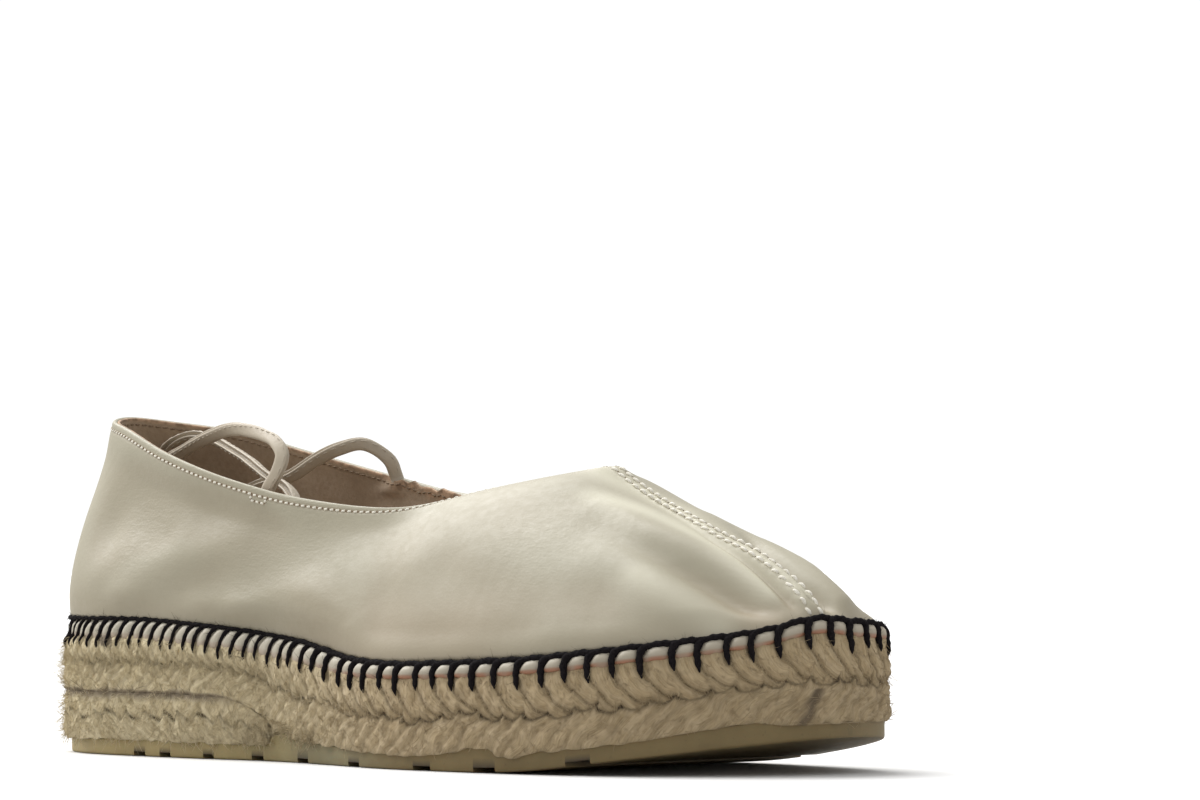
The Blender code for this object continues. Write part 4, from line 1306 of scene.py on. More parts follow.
def blanketPaths():
    # each stitch climbs its leg from the jute to the crease, turns there and runs on to the next leg
    s0 = legs[:, None]
    nxt = np.concatenate([legs[1:], legs[:1] + roundLength])[:, None]
    x0, _ = around(s0, 0)
    fore = ease(x0, -40 * mm, 20 * mm)
    down = np.linspace(1, 0.09, 15)[None, :]
    long = blanket["leg"] * rng.uniform(0.84, 1.12, (manyLegs, 1)) * (1 - 0.12 * fore)
    drop = down * long
    inset = np.interp(drop / mm, blanket["legDrop"], blanket["legInset"]) * mm
    inset = inset + setInAt(s0) * (1 - 0.8 * ease(drop, 3.6 * mm, 6.5 * mm))
    inset = inset - 0.25 * mm * ease(drop, 3.6 * mm, 5.6 * mm)
    s = s0 + leanAt(s0, down) + rng.normal(0, 0.22, (manyLegs, 1)) * mm * (1 - down) * (1 - fore)
    x, y = around(s, inset)
    leg = np.stack([x, y, edgeRound(s) - drop], -1)
    first, last = s0 + leanAt(s0, 0.0), nxt + leanAt(nxt, 0.0)
    go = np.linspace(0.04, 1.14, 18)[None, :]
    s = first + go * (last - first)
    hump = np.sin(np.pi * np.clip(go, 0, 1))
    inset = 1.6 * mm - 0.12 * mm * hump + 0.3 * mm * ease(go, 0.9, 1.12) + np.minimum(setInAt(s), 0.7 * mm)
    x, y = around(s, inset)
    rise = 0.2 * mm + 0.12 * mm * fore
    z = edgeRound(s) - 0.15 * mm - 0.2 * mm * fore + rise * hump + 0.25 * mm * ease(go, 0.88, 1.12)
    run = np.stack([x, y, z], -1)
    paths = np.concatenate([leg, run], 1)
    taper = np.interp(down, [0, 0.12, 0.3, 0.6, 0.8, 1], [1.2, 1.15, 1, 1, 0.76, 0.15])
    legRadius = fromTo(blanket["radius"], fore) * taper
    runRadius = fromTo(blanket["run"], fore) * (0.9 + 0.18 * hump)
    radii = np.concatenate([legRadius, runRadius], 1) * rng.uniform(0.88, 1.1, (manyLegs, 1))
    return paths, radii, outwardAt(s0)


paths, radii, facing = blanketPaths()
yarn = tubes(paths, radii, facing, blanket["sides"], blanket["lobes"], blanket["twist"])
putMesh("blanketStitch", *yarn, navyThread)

# loose hairs: how many, length in mm, thickness
fuzz = {
    "yarn": {"many": 1500, "length": (0.9, 2.3), "thick": 0.045 * mm},
    "nose": {"many": 260, "length": (1.0, 3.2), "thick": 0.075 * mm, "span": (112, 136)},  # mm round the sole
    "wedge": {"many": 4200, "length": (1.2, 4.2), "thick": 0.07 * mm, "tail": 70},  # tail: at its blunt nose
    "jute": {"many": {"juteFuzz": 7500, "juteFuzzLow": 8000}, "length": (1.2, 4.2), "thick": 0.07 * mm},
}


def toewardAt(x):  # 0 at the heel, rising towards the toe
    return ease(x, -60 * mm, 40 * mm)


def looseHairs(name, roots, headings, lengths, lift, thick, look, seed, glue=0.0):
    # short hairs: each bends from its heading towards a random side, tapering to nothing
    dice = np.random.default_rng(seed)
    steps, sides = 4, 3
    perHair = steps * sides
    t = np.linspace(0, 1, steps)[None, :, None]
    wander = dice.normal(size=roots.shape)
    reach = lengths[:, None, None]
    paths = roots[:, None] + headings[:, None] * t * reach + lift[:, None] * t * reach
    paths = paths + 0.32 * wander[:, None] * t ** 2 * reach
    paths[..., 2] = np.maximum(paths[..., 2], 0.4 * mm)  # none through the floor
    radii = thick * np.array([1, 0.85, 0.6, 0.2])[None, :] * dice.uniform(0.6, 1.3, (len(roots), 1))
    tint = np.repeat(dice.uniform(0, 1, len(roots)), perHair)
    dull = np.repeat(toewardAt(roots[:, 0]), perHair)
    glue = np.repeat(glue + np.zeros(len(roots)), perHair)
    points, faces = tubes(paths, radii, unit(dice.normal(size=roots.shape))[:, None], sides)
    strand = np.stack([np.tile(np.linspace(0, 3 * mm, perHair), len(roots)), tint * 0.05], -1)
    values = {"tint": tint, "dull": dull, "gap": np.zeros_like(tint), "glue": glue}
    putMesh(name, points, faces, look, None, (), None, strand, values, True)


def offFace(heading, out):  # a heading turned so that it doesn't point into the surface
    return unit(heading - out * np.minimum(0, (heading * out).sum(1))[:, None])


def yarnFuzz():  # short hairs all over the blanket stitch
    hairs = fuzz["yarn"]
    pick = rng.integers(0, manyLegs, hairs["many"])
    step = rng.integers(2, paths.shape[1] - 2, hairs["many"])
    roots = paths[pick, step]
    out = outwardAt(legs[pick])
    heading = unit(rng.normal(size=roots.shape) * 0.8 + out * 0.7 + np.array([0, 0, 0.45]))
    length = rng.uniform(*hairs["length"], len(roots)) * mm
    looseHairs("yarnFuzz", roots, heading, length, out * 0.2, hairs["thick"], navyThread, 31)


yarnFuzz()
print("blanket stitch ready")

# jute sole: petals pulled down from the stitches over a band of slanted rope
rope = {
    "columns": 1420,
    "rows": 50,
    "petal": (0.55 * mm, 0.95 * mm),  # relief at the heel and in the forefoot
    "sweep": (0.85, 1.25),  # how far the petals' ends lie ahead, in stitches
    "lump": 0.42 * mm,
    "lumpPitch": 5.4 * mm,
    "groove": (0.56, 0.475),  # height share of the groove, heel and forefoot
    "petalWide": 5 * mm,  # on the fibres' map
    "shades": 400,
    "shelf": [(3.0, 4.4), (3.0, 3.2), (4.8, 1.9)],  # inset and drop in mm of the rebate under the hem
    # the brown smear that the rope's end leaves at the toe
    "smear": {"ahead": 100 * mm, "low": 9 * mm, "tall": 10.5 * mm, "at": -7.6 * mm, "slant": 5.4 * mm,
              "half": 1.4 * mm},
}
# how far the jute's lower edge stands above the rubber's edge along the shoe (mm): it hangs over it in places
footRise = {
    "along": [-34, -27, -22.5, -15.6, -6, 3.6, 29.7, 40, 46, 53, 59, 62, 67, 73, 83.6, 96.4, 107, 115.8,
              119.7, 122.6, 124],
    "rise": [0, 1.6, 2.2, 0.9, 0.25, -0.4, -1.4, -0.9, -0.3, 1.0, 1.0, -1.2, -1.2, -0.3, -1.0, -0.9, -0.1,
             0.5, -0.7, -1, -1.3],
}


def footRiseAt(x):  # straight lines between the rows above
    return np.interp(x / mm, footRise["along"], footRise["rise"]) * mm


def strandField(f, sharp):  # 1 on a strand's back, 0 in the gap beside it
    return np.clip(1 - np.abs(2 * f - 1) ** sharp, 0, 1) ** 0.55


def juteSide(s, t):
    # wall of the jute sole at length s and height share t: where it stands, and its strand map and tints
    x0, _ = around(s, 0)
    fore = ease(x0, -30 * mm, 30 * mm)
    flatS = np.stack([s, 0 * s], -1)
    ragged = waves(flatS, 5 * mm, 46) * 0.16 * mm * ease(x0, -20 * mm, 0)
    foot = juteFootAt(x0) + footRiseAt(x0) + ragged
    head = edgeRound(s) - shoe["hem"] + (0.35 + 0.75 * fore) * mm
    z = foot + t * (head - foot)
    flat = np.stack([s + 0 * t, z], -1)
    wobble = waves(flat, 9 * mm, 41) * 0.5 * mm
    pitch = pitchAt(s)
    shades = np.random.default_rng(44).uniform(0, 1, rope["shades"])
    sweep = fromTo(rope["sweep"], fore)
    # the petals' round lower ends make the groove, some longer than others
    endCount = stitchAt(s - (0.12 + sweep) * pitch + 0.5 * wobble)
    endPart = np.mod(endCount, 1)
    endRound = 1 - np.abs(2 * endPart - 1) ** 2
    endShade = shades[np.floor(endCount).astype(int) % len(shades)]
    groove = fromTo(rope["groove"], fore) + 0.035
    groove = groove - 0.07 * endRound - 0.09 * (endShade - 0.5)
    high = np.clip((1 - t) / (1 - groove), 0, 1)  # 0 at the hem, 1 at the groove
    low = np.clip((groove - t) / groove, 0, 1)  # 0 at the groove, 1 at the foot
    upperBand = t > groove
    count = stitchAt(s - pitch * (0.12 * high + sweep * high ** 2.1) + wobble * 0.5 * high)
    petal = strandField(np.mod(count, 1) ** 1.15, 2.1)
    phase = (s - 1.1 * (z - rubberAt(x0)) + wobble * 1.2) / rope["lumpPitch"]
    lump = 0.5 + 0.5 * np.cos(2 * np.pi * phase)
    roundHigh = 0.25 + (0.5 + setInAt(s) / mm) * (1 - high) ** 3.5 + 0.9 * high ** 8
    roundLow = 0.2 + 0.8 * (1 - low) ** 7 + 0.45 * low ** 10
    soft = waves(flat, 5 * mm, 42) * 0.16 * mm + waves(flat, 2.1 * mm, 43) * 0.09 * mm
    relief = fromTo(rope["petal"], fore)
    highInset = roundHigh * mm - relief * (petal - 0.78) * (1 - 0.3 * high ** 4)
    lowInset = roundLow * mm - rope["lump"] * (lump - 0.5)
    inset = np.where(upperBand, highInset, lowInset) - soft + heelTrimAt(s)
    x, y = around(s + 0 * t, inset)
    patchy = np.clip(0.55 + 0.55 * waves(flat, 11 * mm, 47), 0.1, 1)
    # dark knots where some petals end: painted shade
    knot = (endShade > 0.62) * np.exp(-(np.minimum(endPart, 1 - endPart) * pitch / (0.7 * mm)) ** 2)
    knot = knot * np.exp(-((t - groove) * (head - foot) / (0.55 * mm)) ** 2)
    # painted shade: in the gaps between petals, along the groove and under the hem; below the groove between
    # the lumps, at the groove and at the foot
    highGapShade = (1 - petal) ** 1.8 * (0.5 + 0.35 * fore) + 0.6 * patchy * high ** 18
    highGapShade = highGapShade + 0.24 * fore * (1 - high) ** 6
    lowGapShade = 0.16 * (1 - lump) ** 3 + 0.6 * patchy * (1 - low) ** 18 + 0.12 * low ** 20
    petalTint = shades[np.floor(count).astype(int) % len(shades)]
    tint = np.where(upperBand, petalTint, 0.35 + 0.2 * waves(flat, 7 * mm, 48))
    nearGlue = ease(-x0, 35 * mm, 46 * mm) * (1 - ease(t, 0.02, 0.07 + 0.02 * waves(flat, 12 * mm, 45)))
    spot = rope["smear"]
    climb = (z - spot["low"]) / spot["tall"]
    toePart = (x0 > spot["ahead"]) & (climb > -0.4) & (climb < 1.02)
    smear = toePart * np.exp(-((y - spot["at"] - spot["slant"] * climb) / spot["half"]) ** 2)
    glue = np.clip(0.85 * nearGlue + 0.4 * smear, 0, 1)
    gap = np.clip(np.where(upperBand, highGapShade, lowGapShade) + 0.7 * knot + 0.8 * smear, 0, 0.94)
    across = np.where(upperBand, count * rope["petalWide"], phase * rope["lumpPitch"])
    along = np.where(upperBand, (1 - t) * (head - foot), z + 0.75 * s)
    values = {"gap": gap, "tint": np.clip(tint, 0, 1), "glue": glue, "dull": toewardAt(x0) + 0 * t}
    return np.stack([x, y, z], -1), np.stack([across, along], -1), values


def stripCaps(columns, rows, row, upwards):  # strips across a ring of columns, at one row
    i = np.arange(columns // 2)
    strips = np.stack([i, i + 1, (columns - i - 1) % columns, (columns - i) % columns], -1) * rows + row
    if not upwards:
        strips = strips[:, ::-1]
    return [list(dict.fromkeys(f)) for f in strips.tolist() if len(set(f)) > 2]


def makeJute():
    # the rope wall round the outline, a rebate under the hem, and flat strips across the top and the foot
    s = np.linspace(0, roundLength, rope["columns"], endpoint=False)[:, None]
    t = np.concatenate([[0], np.linspace(0.012, 1, rope["rows"])])[None, :]
    points, strand, values = juteSide(s, t)
    rows = []
    for inset, drop in rope["shelf"]:
        x, y = around(s, inset * mm)
        rows.append(np.stack([x, y, edgeRound(s) - drop * mm], -1))
    points = np.concatenate([points] + rows, 1)
    more = len(rows)
    strand = np.concatenate([strand] + [strand[:, -1:]] * more, 1)
    for key, v in values.items():
        values[key] = np.concatenate([v + 0 * points[:, :-more, 0]] + [v[:, -1:] + 0 * s] * more, 1)
    columns, many = points.shape[:2]
    faces = [list(f) for f in gridFaces(columns, many, True)]
    faces += stripCaps(columns, many, 0, False) + stripCaps(columns, many, many - 1, True)
    putMesh("juteSole", points, faces, jute, "jute", ["jute_sole"], None, strand, values)


makeJute()


def juteFuzz(name, lowest, highest, seed):
    # hairs along the strands, most lying close, some standing off; thinner and shorter away from the heel
    hairs = fuzz["jute"]
    many = hairs["many"][name]
    s = rng.uniform(0, roundLength, (many, 1))
    x0, _ = around(s, 0)
    s = s[rng.uniform(0, 1, (many, 1)) < 1 - 0.5 * toewardAt(x0)][:, None]
    many = len(s)
    x0, _ = around(s, 0)
    t = rng.uniform(lowest, highest, (many, 1))
    roots, _, values = juteSide(s, t)
    roots = roots[:, 0]
    ahead = juteSide(s + 0.5 * mm, t)[0][:, 0] - roots
    lower = juteSide(s, np.clip(t - 0.04, 0, 1))[0][:, 0] - roots
    onHigh = (t > fromTo(rope["groove"], ease(x0, -30 * mm, 30 * mm))).astype(float)
    heading = unit(lower) * (0.95 * onHigh - 0.5 * (1 - onHigh)) + unit(ahead) * (0.5 + 0.25 * (1 - onHigh))
    heading = unit(heading + (0.35 + 0.4 * (1 - onHigh)) * rng.normal(size=roots.shape))
    out = outwardAt(s)[:, 0]
    heading = offFace(heading, out)
    off = np.clip(rng.exponential(0.1, (many, 1)), 0.02, 0.5) * (1 - 0.5 * toewardAt(x0))
    length = rng.uniform(*hairs["length"], many) * mm * (1 - 0.25 * toewardAt(x0[:, 0]))
    roots, glue = roots + out * 0.04 * mm, values["glue"][:, 0]
    looseHairs(name, roots, heading, length, out * off, hairs["thick"], jute, seed, glue)


def noseFuzz():  # tufts where the rope leaves the wedge's nose
    hairs = fuzz["nose"]
    many = hairs["many"]
    s = rng.uniform(*hairs["span"], (many, 1)) * mm
    t = rng.uniform(0.0, 0.16, (many, 1))
    roots = juteSide(s, t)[0][:, 0]
    out = outwardAt(s)[:, 0]
    heading = unit(np.array([0.35, 0, -0.75]) + 0.4 * out + 0.55 * rng.normal(size=roots.shape))
    length = rng.uniform(*hairs["length"], many) * mm
    looseHairs("noseFuzz", roots, heading, length, out * 0.12, hairs["thick"], jute, 54)


juteFuzz("juteFuzz", 0.46, 0.97, 51)
noseFuzz()
juteFuzz("juteFuzzLow", 0.0, 0.56, 53)
print("jute sole ready")

# heel wedge: slanted rope above a zigzag, small petals below it
wedgeRope = {
    "rows": 26,
    "step": 0.5 * mm,
    "petalPitch": 6.9 * mm,
    "petal": 0.55 * mm,
    "lumpPitch": 4.4 * mm,
    "lump": 0.2 * mm,
    "turn": 0.8,  # share of a tooth where it starts to climb back
    "shades": 300,
}
wedgeEndX = heelX + wedgeTops["along"][-1] * shoe["length"]


def wedgeSide(s, t):
    # wall of the wedge at length s and height share t, with its strand map and tints, as the jute sole's
    x0, _ = around(s, 0)
    flatS = np.stack([s, 0 * s], -1)
    foot = rubberAt(x0) - 0.3 * mm - 0.2 * mm * waves(flatS, 6 * mm, 67)
    head = np.maximum(wedgeTopAt(x0), juteFootAt(x0) - 0.05 * mm)
    z = foot + t * (head - foot)
    flat = np.stack([s + 0 * t, z], -1)
    wobble = waves(flat, 8 * mm, 61) * 0.5 * mm
    place = s / wedgeRope["petalPitch"] + 0.12 * waves(flatS, 9 * mm, 68)
    tooth = np.mod(place, 1)
    falling = 1 - ease(tooth, 0.72, 0.9)  # each tooth falls slowly and climbs back quickly
    turn = wedgeRope["turn"]
    zigzag = np.where(tooth < turn, 1 - tooth / turn, (tooth - turn) / (1 - turn))
    split = 0.43 + 0.2 * zigzag + 0.02 * waves(flat, 10 * mm, 62)
    under = np.clip((split - t) / split, 0, 1)
    lowBand = t < split
    count = place - 1.2 * under + wobble * 0.5 / wedgeRope["petalPitch"]
    petal = strandField(np.mod(count, 1), 2.2)
    phase = (s - 1.0 * (z - foot) + wobble * 1.5) / wedgeRope["lumpPitch"]
    lump = 0.5 + 0.5 * np.cos(2 * np.pi * phase)
    swell = 0.3 + 0.5 * (1 - t) ** 9 + 0.6 * t ** 10 + 0.3 * np.exp(-((t - split) / 0.06) ** 2)
    soft = waves(flat, 4.5 * mm, 63) * 0.16 * mm + waves(flat, 1.9 * mm, 64) * 0.08 * mm
    relief = np.where(lowBand, wedgeRope["petal"] * (petal - 0.7), wedgeRope["lump"] * (lump - 0.5))
    x, y = around(s + 0 * t, swell * mm - relief - soft + heelTrimAt(s))
    patchy = np.clip(0.5 + 0.6 * waves(flat, 8 * mm, 69), 0.05, 1)
    # painted shade: along the zigzag, and in the gaps between petals and lumps
    zigzagShade = patchy * np.exp(-((t - split) / 0.04) ** 2) * (0.25 + 0.75 * falling)
    fade = 1 - ease(x0, -50 * mm, -38 * mm)
    gap = np.where(lowBand, 0.35 * (1 - petal) ** 2 * (1 - under) ** 0.5, 0.08 * (1 - lump) ** 2)
    gap = np.clip(gap + 1.15 * zigzagShade * (0.3 + 0.7 * fade), 0, 0.9)
    shades = np.random.default_rng(65).uniform(0, 1, wedgeRope["shades"])
    petalTint = shades[np.floor(count).astype(int) % len(shades)]
    tint = np.where(lowBand, petalTint, 0.35 + 0.2 * waves(flat, 7 * mm, 70))
    glue = 0.85 * ease(t, 0.8 + 0.04 * waves(flat, 12 * mm, 66), 0.97) * (0.08 + 0.92 * fade)
    across = np.where(lowBand, count * wedgeRope["petalPitch"], phase * wedgeRope["lumpPitch"])
    along = np.where(lowBand, z, z + 0.8 * s)
    glue = np.clip(glue, 0, 1)
    values = {"gap": gap, "tint": np.clip(tint, 0, 1), "glue": glue, "dull": toewardAt(x0) + 0 * t}
    return np.stack([x, y, z], -1), np.stack([across, along], -1), values


def wedgeSpan():  # lengths round the outline where the wedge's front ends cut it, outer and inner
    half = fineS < lateralLength
    outer = np.interp(wedgeEndX, fineLoop[half, 0], fineS[half])
    back = fineLoop[~half][::-1]
    inner = np.interp(wedgeEndX, back[:, 0], fineS[~half][::-1])
    return outer, inner - roundLength


def makeWedge():
    # the wall from one end of the wedge's front round the heel to the other, flat strips over and under it
    outer, inner = wedgeSpan()
    count = int((outer - inner) / wedgeRope["step"]) // 2 * 2
    s = np.linspace(inner, outer, count + 1)[:, None]
    t = np.linspace(0, 1, wedgeRope["rows"])[None, :]
    points, strand, values = wedgeSide(s, t)
    many = points.shape[1]
    columns = len(s)
    faces = [list(f) for f in gridFaces(columns, many, False)]
    i = np.arange(count // 2)
    j = count - i
    for row, upwards in ((0, False), (many - 1, True)):
        strips = np.stack([i, i + 1, j - 1, j], -1) * many + row
        strips = strips if not upwards else strips[:, ::-1]
        faces += [list(dict.fromkeys(f)) for f in strips.tolist()]
    k = np.arange(many - 1)  # the front, straight across
    front = np.stack([count * many + k, k, k + 1, count * many + k + 1], -1)
    faces += front.tolist()
    values = {key: v + 0 * points[..., 0] for key, v in values.items()}
    putMesh("heelWedge", points, faces, jute, "jute", ["heel_wedge"], None, strand, values)


makeWedge()


def wedgeFuzz():  # hairs along the wedge's strands, some more near its nose
    outer, inner = wedgeSpan()
    hairs = fuzz["wedge"]
    many, tail = hairs["many"], hairs["tail"]
    s = rng.uniform(inner, outer, (many, 1))
    s[:tail] = outer - rng.exponential(6.0, (tail, 1)) * mm
    t = rng.uniform(0.0, 0.97, (many, 1))
    roots = wedgeSide(s, t)[0][:, 0]
    ahead = wedgeSide(s + 0.5 * mm, t)[0][:, 0] - roots
    out = outwardAt(s)[:, 0]
    heading = unit(unit(ahead) * 0.7 + np.array([0, 0, -0.45]) + 0.75 * rng.normal(size=roots.shape))
    heading = offFace(heading, out)
    off = np.clip(rng.exponential(0.13, (many, 1)), 0.02, 0.6)
    length = rng.uniform(*hairs["length"], many) * mm
    looseHairs("wedgeFuzz", roots, heading, length, out * off, hairs["thick"], jute, 52)


wedgeFuzz()
print("wedge ready")

# rubber outsole with its grooves: share of the length and width in mm
grooves = [
    (0.1973, 4.6), (0.2376, 4.2), (0.3009, 3.6), (0.3676, 4.3), (0.4448, 5.0), (0.543, 5.2), (0.6492, 5.9),
    (0.7294, 6.6), (0.8321, 6.1),
]
sole = {
    "inset": 1.3 * mm,
    "heelIn": 1.4 * mm,
    "depth": 1.1 * mm,
    "bevel": 0.6 * mm,
    "grooveBevel": 0.15 * mm,
    "stations": 300,
    "across": 10,  # points across the tread
    "lip": 0.55 * mm,  # the rubber climbs over the rope's foot where that stands high
    "treadShade": (0.22, 0.8),  # tread and grooves
    "sharp": 38,  # degrees
}


def makeOutsole():
    # sections across the shoe at stations along it, each a closed strip: outer wall, tread, inner wall, top
    inset = sole["inset"] + sole["heelIn"] * (1 - ease(fineLoop[:, 0], -118 * mm, -70 * mm))
    x, y = around(fineS, inset)
    tip, back = int(np.argmax(x)), int(np.argmin(x[:200]))
    outerX, outerY = x[back : tip + 1], y[back : tip + 1]
    innerX, innerY = np.r_[x[tip:-1], x[: back + 1]][::-1], np.r_[y[tip:-1], y[: back + 1]][::-1]
    turned = np.linspace(0.012, np.pi - 0.012, sole["stations"])
    at = 0.5 * (x.min() + x.max()) - 0.5 * (x.max() - x.min()) * np.cos(turned)
    mids = heelX + np.array([g[0] for g in grooves]) * shoe["length"]
    halves = np.array([g[1] for g in grooves]) * mm / 2
    hair = 0.03 * mm
    sides = np.concatenate([mids - halves, mids + halves])
    cuts = np.concatenate([sides - hair, sides + hair])
    at = np.unique(np.concatenate([at, cuts]))
    inGroove = (np.abs(at[:, None] - mids) < halves).any(1)
    order = np.argsort(outerX)
    outer = np.interp(at, outerX[order], outerY[order])
    order = np.argsort(innerX)
    inner = np.interp(at, innerX[order], innerY[order])
    ground = groundAt(at) + sole["depth"] * inGroove
    top = rubberAt(at) + np.clip(footRiseAt(at) + sole["lip"], 0, None) * ease(at, -31 * mm, -27 * mm)
    width = inner - outer
    b = np.minimum(np.where(inGroove, sole["grooveBevel"], sole["bevel"]), 0.3 * width)
    side = [
        (outer + b, top), (outer + 0.09 * b, top - 0.12 * mm), (outer, top - 0.5 * mm),
        (outer, 0.5 * (top + ground)), (outer, ground + b), (outer + 0.3 * b, ground + 0.3 * b),
        (outer + b, ground),
    ]
    across = np.linspace(0, 1, sole["across"] + 2)[1:-1]
    tread = [(outer + b + a * (width - 2 * b), ground) for a in across]
    other = [(inner - (yy - outer), zz) for yy, zz in side[::-1]]
    cover = [(inner - b - a * (width - 2 * b), top) for a in across]
    rows = side + tread + other + cover
    points = np.stack([np.stack([at, yy, zz], -1) for yy, zz in rows], 1)
    columns, many = points.shape[:2]
    faces = list(gridFaces(columns, many, False)) + list(closingFaces(columns, many, False))
    faces += [list(range(many))[::-1], [(columns - 1) * many + k for k in range(many)]]
    first, last = len(side) - 2, len(side) + len(tread) + 2  # the tread with its rounded edges
    # painted shade: the tread a little darker, the grooves' insides much darker
    treadShade = np.zeros((columns, many))
    treadShade[:, first:last] = sole["treadShade"][0]
    treadShade[inGroove, first - 1 : last + 1] = sole["treadShade"][1]
    values = {"tread": treadShade, "dull": toewardAt(at)[:, None] + 0 * treadShade}
    obj = putMesh("rubberOutsole", points, faces, rubber, "rubber", ["outsole"], None, None, values)
    obj.data.set_sharp_from_angle(angle=math.radians(sole["sharp"]))


makeOutsole()

# insole: columns round it; inset from the outline and height over the edge in mm, from its foot to its middle
pad = {
    "columns": 420,
    "rows": [(5.4, -1.6), (5.3, -0.6), (5.3, 0.2), (5.6, 0.7), (6.2, 0.92), (9, 0.86), (14, 0.78)],
    "rawEdge": 0.25,
}


def makeInsole():
    # a thin pad on the jute, its edge rounded, a little dished under the foot
    s = np.linspace(0, roundLength, pad["columns"], endpoint=False)[:, None]
    rows = np.array(pad["rows"])
    x, y = around(s + 0 * rows[None, :, 0], rows[None, :, 0] * mm)
    z = edgeAt(x) + rows[None, :, 1] * mm
    points = np.stack([x, y, z], -1)
    columns, many = points.shape[:2]
    faces = [list(f) for f in gridFaces(columns, many, True)]
    faces += stripCaps(columns, many, 0, False) + stripCaps(columns, many, many - 1, True)
    values = {"rawEdge": pad["rawEdge"] * (rows[None, :, 0] < 5.5) + 0 * points[..., 0]}
    putMesh("insolePad", points, faces, lining, "lining", ["insole"], None, None, values)


makeInsole()
print("outsole and insole ready")


def stitchRow(line, out, pitch, lay, radius, lift=0.1):
    # stitches along a line on a surface: each a short thread that dips into the leather at both ends
    lengthShare, lean = lay
    lengths = lengthsOf(line)
    count = int(lengths[-1] / pitch)
    middle = (np.arange(count) + 0.5) * lengths[-1] / count
    t = np.linspace(-0.5, 0.5, 6)[None, :] * pitch * lengthShare
    place = middle[:, None] + t
    path = readAt(place, lengths, line)
    face = unit(readAt(place, lengths, out))
    ahead = unit(np.gradient(path, axis=1))
    side = np.cross(face, ahead)
    dip = np.array([-0.28, 0.5, 1.0, 1.0, 0.5, -0.28]) * lift * mm
    path = path + face * dip[None, :, None] + side * (lean * t)[..., None]
    size = radius * np.array([0.7, 1, 1.05, 1.05, 1, 0.7])[None, :] + np.zeros((count, 1))
    return path, size, face


def rowBelow(grid, out, below, columns, depth):  # the line a set distance below the top of some columns
    line = [readAt(-depth, -below[i], grid[i]) for i in columns]
    face = [readAt(-depth, -below[i], out[i]) for i in columns]
    return np.array(line), unit(np.array(face))


def seamRow(side):  # a line beside the seam from the throat to the edge stitch, dropped on to the leather
    tree = BVHTree.FromPolygons(wall.reshape(-1, 3).tolist(), gridFaces(*wall.shape[:2], True).tolist())
    places = np.linspace(0.8 * mm, seamLong + 1 * mm, 260)[:, None]
    off = side * sewing["seamOut"] * seamSpread(places, side)
    plan = throatPoint[:2] + places * seamRun + off * seamSide[:2]
    hits = [tree.ray_cast(Vector((x, y, 0.2)), Vector((0, 0, -1))) for x, y in plan]
    hits = [(hit[0], hit[1]) for hit in hits if hit[0] is not None]
    return np.array([place for place, _ in hits]), unit(np.array([face for _, face in hits]))


def makeTopStitches():
    # all rows gathered as paths, then one mesh of tubes for the thread and one for the holes
    normals = gridNormals(wall, True)
    jobs = []
    line, out = rowBelow(wall, normals, wallBelow, rimOrder, sewing["rimBelow"])
    jobs.append(stitchRow(line, out, sewing["rimPitch"], sewing["rimLay"], sewing["rimRadius"]))
    for side in (-1, 1):
        line, out = seamRow(side)
        path, size, face = stitchRow(line, out, sewing["seamPitch"], sewing["seamLay"], sewing["seamRadius"],
                                     sewing["seamBow"])
        toeward = ease(np.arange(len(path)) / len(path), 0.55, 0.9)[:, None]
        path = path - face * (sewing["seamSunk"] * toeward)[..., None]
        jobs.append((path, size * (1 + 0.1 * toeward), face))
    # a small box of stitches ties the strap's end down on each side
    depths = (sewing["rimBelow"], *sewing["tackDepths"])
    lay = (sewing["tackLong"], 0)
    along, down = sewing["tackPitch"]
    for centre in sewing["tacks"]:
        near = np.linalg.norm(wall - np.array(centre) * mm, axis=2)
        column = np.unravel_index(near.argmin(), near.shape)[0]
        span = np.arange(column - 2, column + 3)
        low, face = rowBelow(wall, normals, wallBelow, span, depths[-1])
        jobs.append(stitchRow(low, face, along, lay, sewing["rimRadius"]))
        for end in (span[0], span[-1]):
            rung = [rowBelow(wall, normals, wallBelow, [end], depth) for depth in depths]
            line, face = (np.vstack(part) for part in zip(*rung))
            jobs.append(stitchRow(line, face, down, lay, sewing["rimRadius"]))
    path, size, face = (np.concatenate(parts) for parts in zip(*jobs))
    putMesh("topStitches", *tubes(path, size, face, 7, sewing["lobes"], sewing["twist"]), creamThread)
    # needle holes: dark flattened beads at the stitches' ends, painted shade in the holes
    ends = np.concatenate([path[:, 0], path[:, -1]])
    facing = np.concatenate([face[:, 0], face[:, -1]])
    drop = np.linspace(-1, 1, 4)[None, :, None] * sewing["holeDeep"]
    holes = ends[:, None] + facing[:, None] * (drop + sewing["holeDeep"] / 2)
    size = sewing["holeRadius"] * np.array([0.5, 1, 1, 0.45])[None, :] + np.zeros((len(ends), 1))
    side = unit(np.cross(facing, np.array([0.3, 0.2, 0.9])))
    putMesh("needleHoles", *tubes(holes, size, side[:, None], 6), brownThread)
    # the same row shows on the lining
    order = rimColumns(liner["columns"], len(linerGrid))
    line, out = rowBelow(linerGrid, -linerOut, linerBelow, order, sewing["liningBelow"])
    path, size, face = stitchRow(line, out, sewing["rimPitch"], sewing["liningLay"], sewing["liningRadius"])
    putMesh("liningStitches", *tubes(path, size, face, 6), brownThread)


makeTopStitches()
print("top stitches ready")

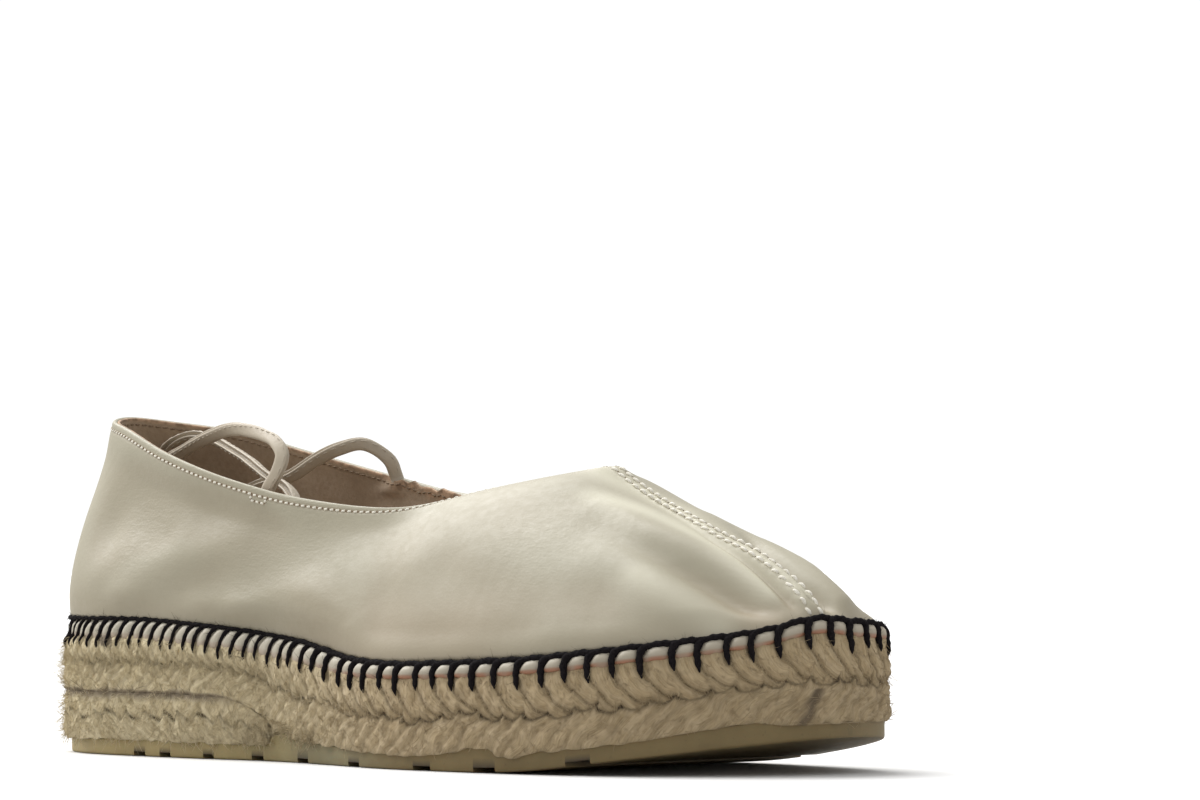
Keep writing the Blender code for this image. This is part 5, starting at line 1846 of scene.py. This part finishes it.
# floor and light: white sweep, a sky that is brightest overhead, one broad soft key from the upper left
# and a little behind the shoe
stageSet = {
    "floor": (0.90, 0.90, 0.895),
    "floorHalf": 9.0,
    "floorDrop": 0.05 * mm,
    "bounce": (0.56, 0.55, 0.53),  # what the floor throws back on the shoe
    "zenith": 0.66,
    "horizon": 0.56,
    "backdrop": 1.05,
    "key": 4.0,
    "keyFrom": (-0.42, -0.45, 0.8),  # to the right, towards the camera and up
    "keyWide": 60,
}


def addStage():
    # the floor and the backdrop show white, and light the shoe more softly than that
    look = Look("paleFloor", rough=0.8, specular=0.1)
    seen = look.node("LightPath", None, None, "Is Camera Ray")
    look.use("color", look.mix(seen, stageSet["bounce"], stageSet["floor"]))
    mesh = bpy.data.meshes.new("floor")
    half = stageSet["floorHalf"]
    corners = [(-half, -half, 0), (half, -half, 0), (half, half, 0), (-half, half, 0)]
    mesh.from_pydata(corners, [], [(0, 1, 2, 3)])
    mesh.materials.append(look.material)
    floor = bpy.data.objects.new("floor", mesh)
    floor.location.z = -stageSet["floorDrop"]
    bpy.context.scene.collection.objects.link(floor)
    world = bpy.data.worlds.new("studio")
    world.use_nodes = True
    nodes, links = world.node_tree.nodes, world.node_tree.links
    heading = nodes.new("ShaderNodeTexCoord")
    height = nodes.new("ShaderNodeSeparateXYZ")
    sky = nodes.new("ShaderNodeMapRange")
    sky.inputs["To Min"].default_value = stageSet["horizon"]
    sky.inputs["To Max"].default_value = stageSet["zenith"]
    ray = nodes.new("ShaderNodeLightPath")
    level = nodes.new("ShaderNodeMapRange")  # the backdrop itself shows white
    level.inputs["To Max"].default_value = stageSet["backdrop"]
    links.new(heading.outputs["Generated"], height.inputs["Vector"])
    links.new(height.outputs["Z"], sky.inputs["Value"])
    links.new(ray.outputs["Is Camera Ray"], level.inputs["Value"])
    links.new(sky.outputs["Result"], level.inputs["To Min"])
    links.new(level.outputs["Result"], nodes["Background"].inputs["Strength"])
    nodes["Background"].inputs["Color"].default_value = (1, 1, 1, 1)
    bpy.context.scene.world = world
    bpy.context.scene.view_settings.view_transform = "Standard"
    right, near, up = stageSet["keyFrom"]
    light = bpy.data.lights.new("key", "SUN")
    light.energy = stageSet["key"]
    light.angle = math.radians(stageSet["keyWide"])
    lamp = bpy.data.objects.new("key", light)
    lamp.location = cameraRight * right - cameraAhead * near + Vector((0, 0, up))
    lamp.rotation_euler = (-lamp.location).to_track_quat("-Z", "Y").to_euler()
    bpy.context.scene.collection.objects.link(lamp)


addStage()
print("stage ready")
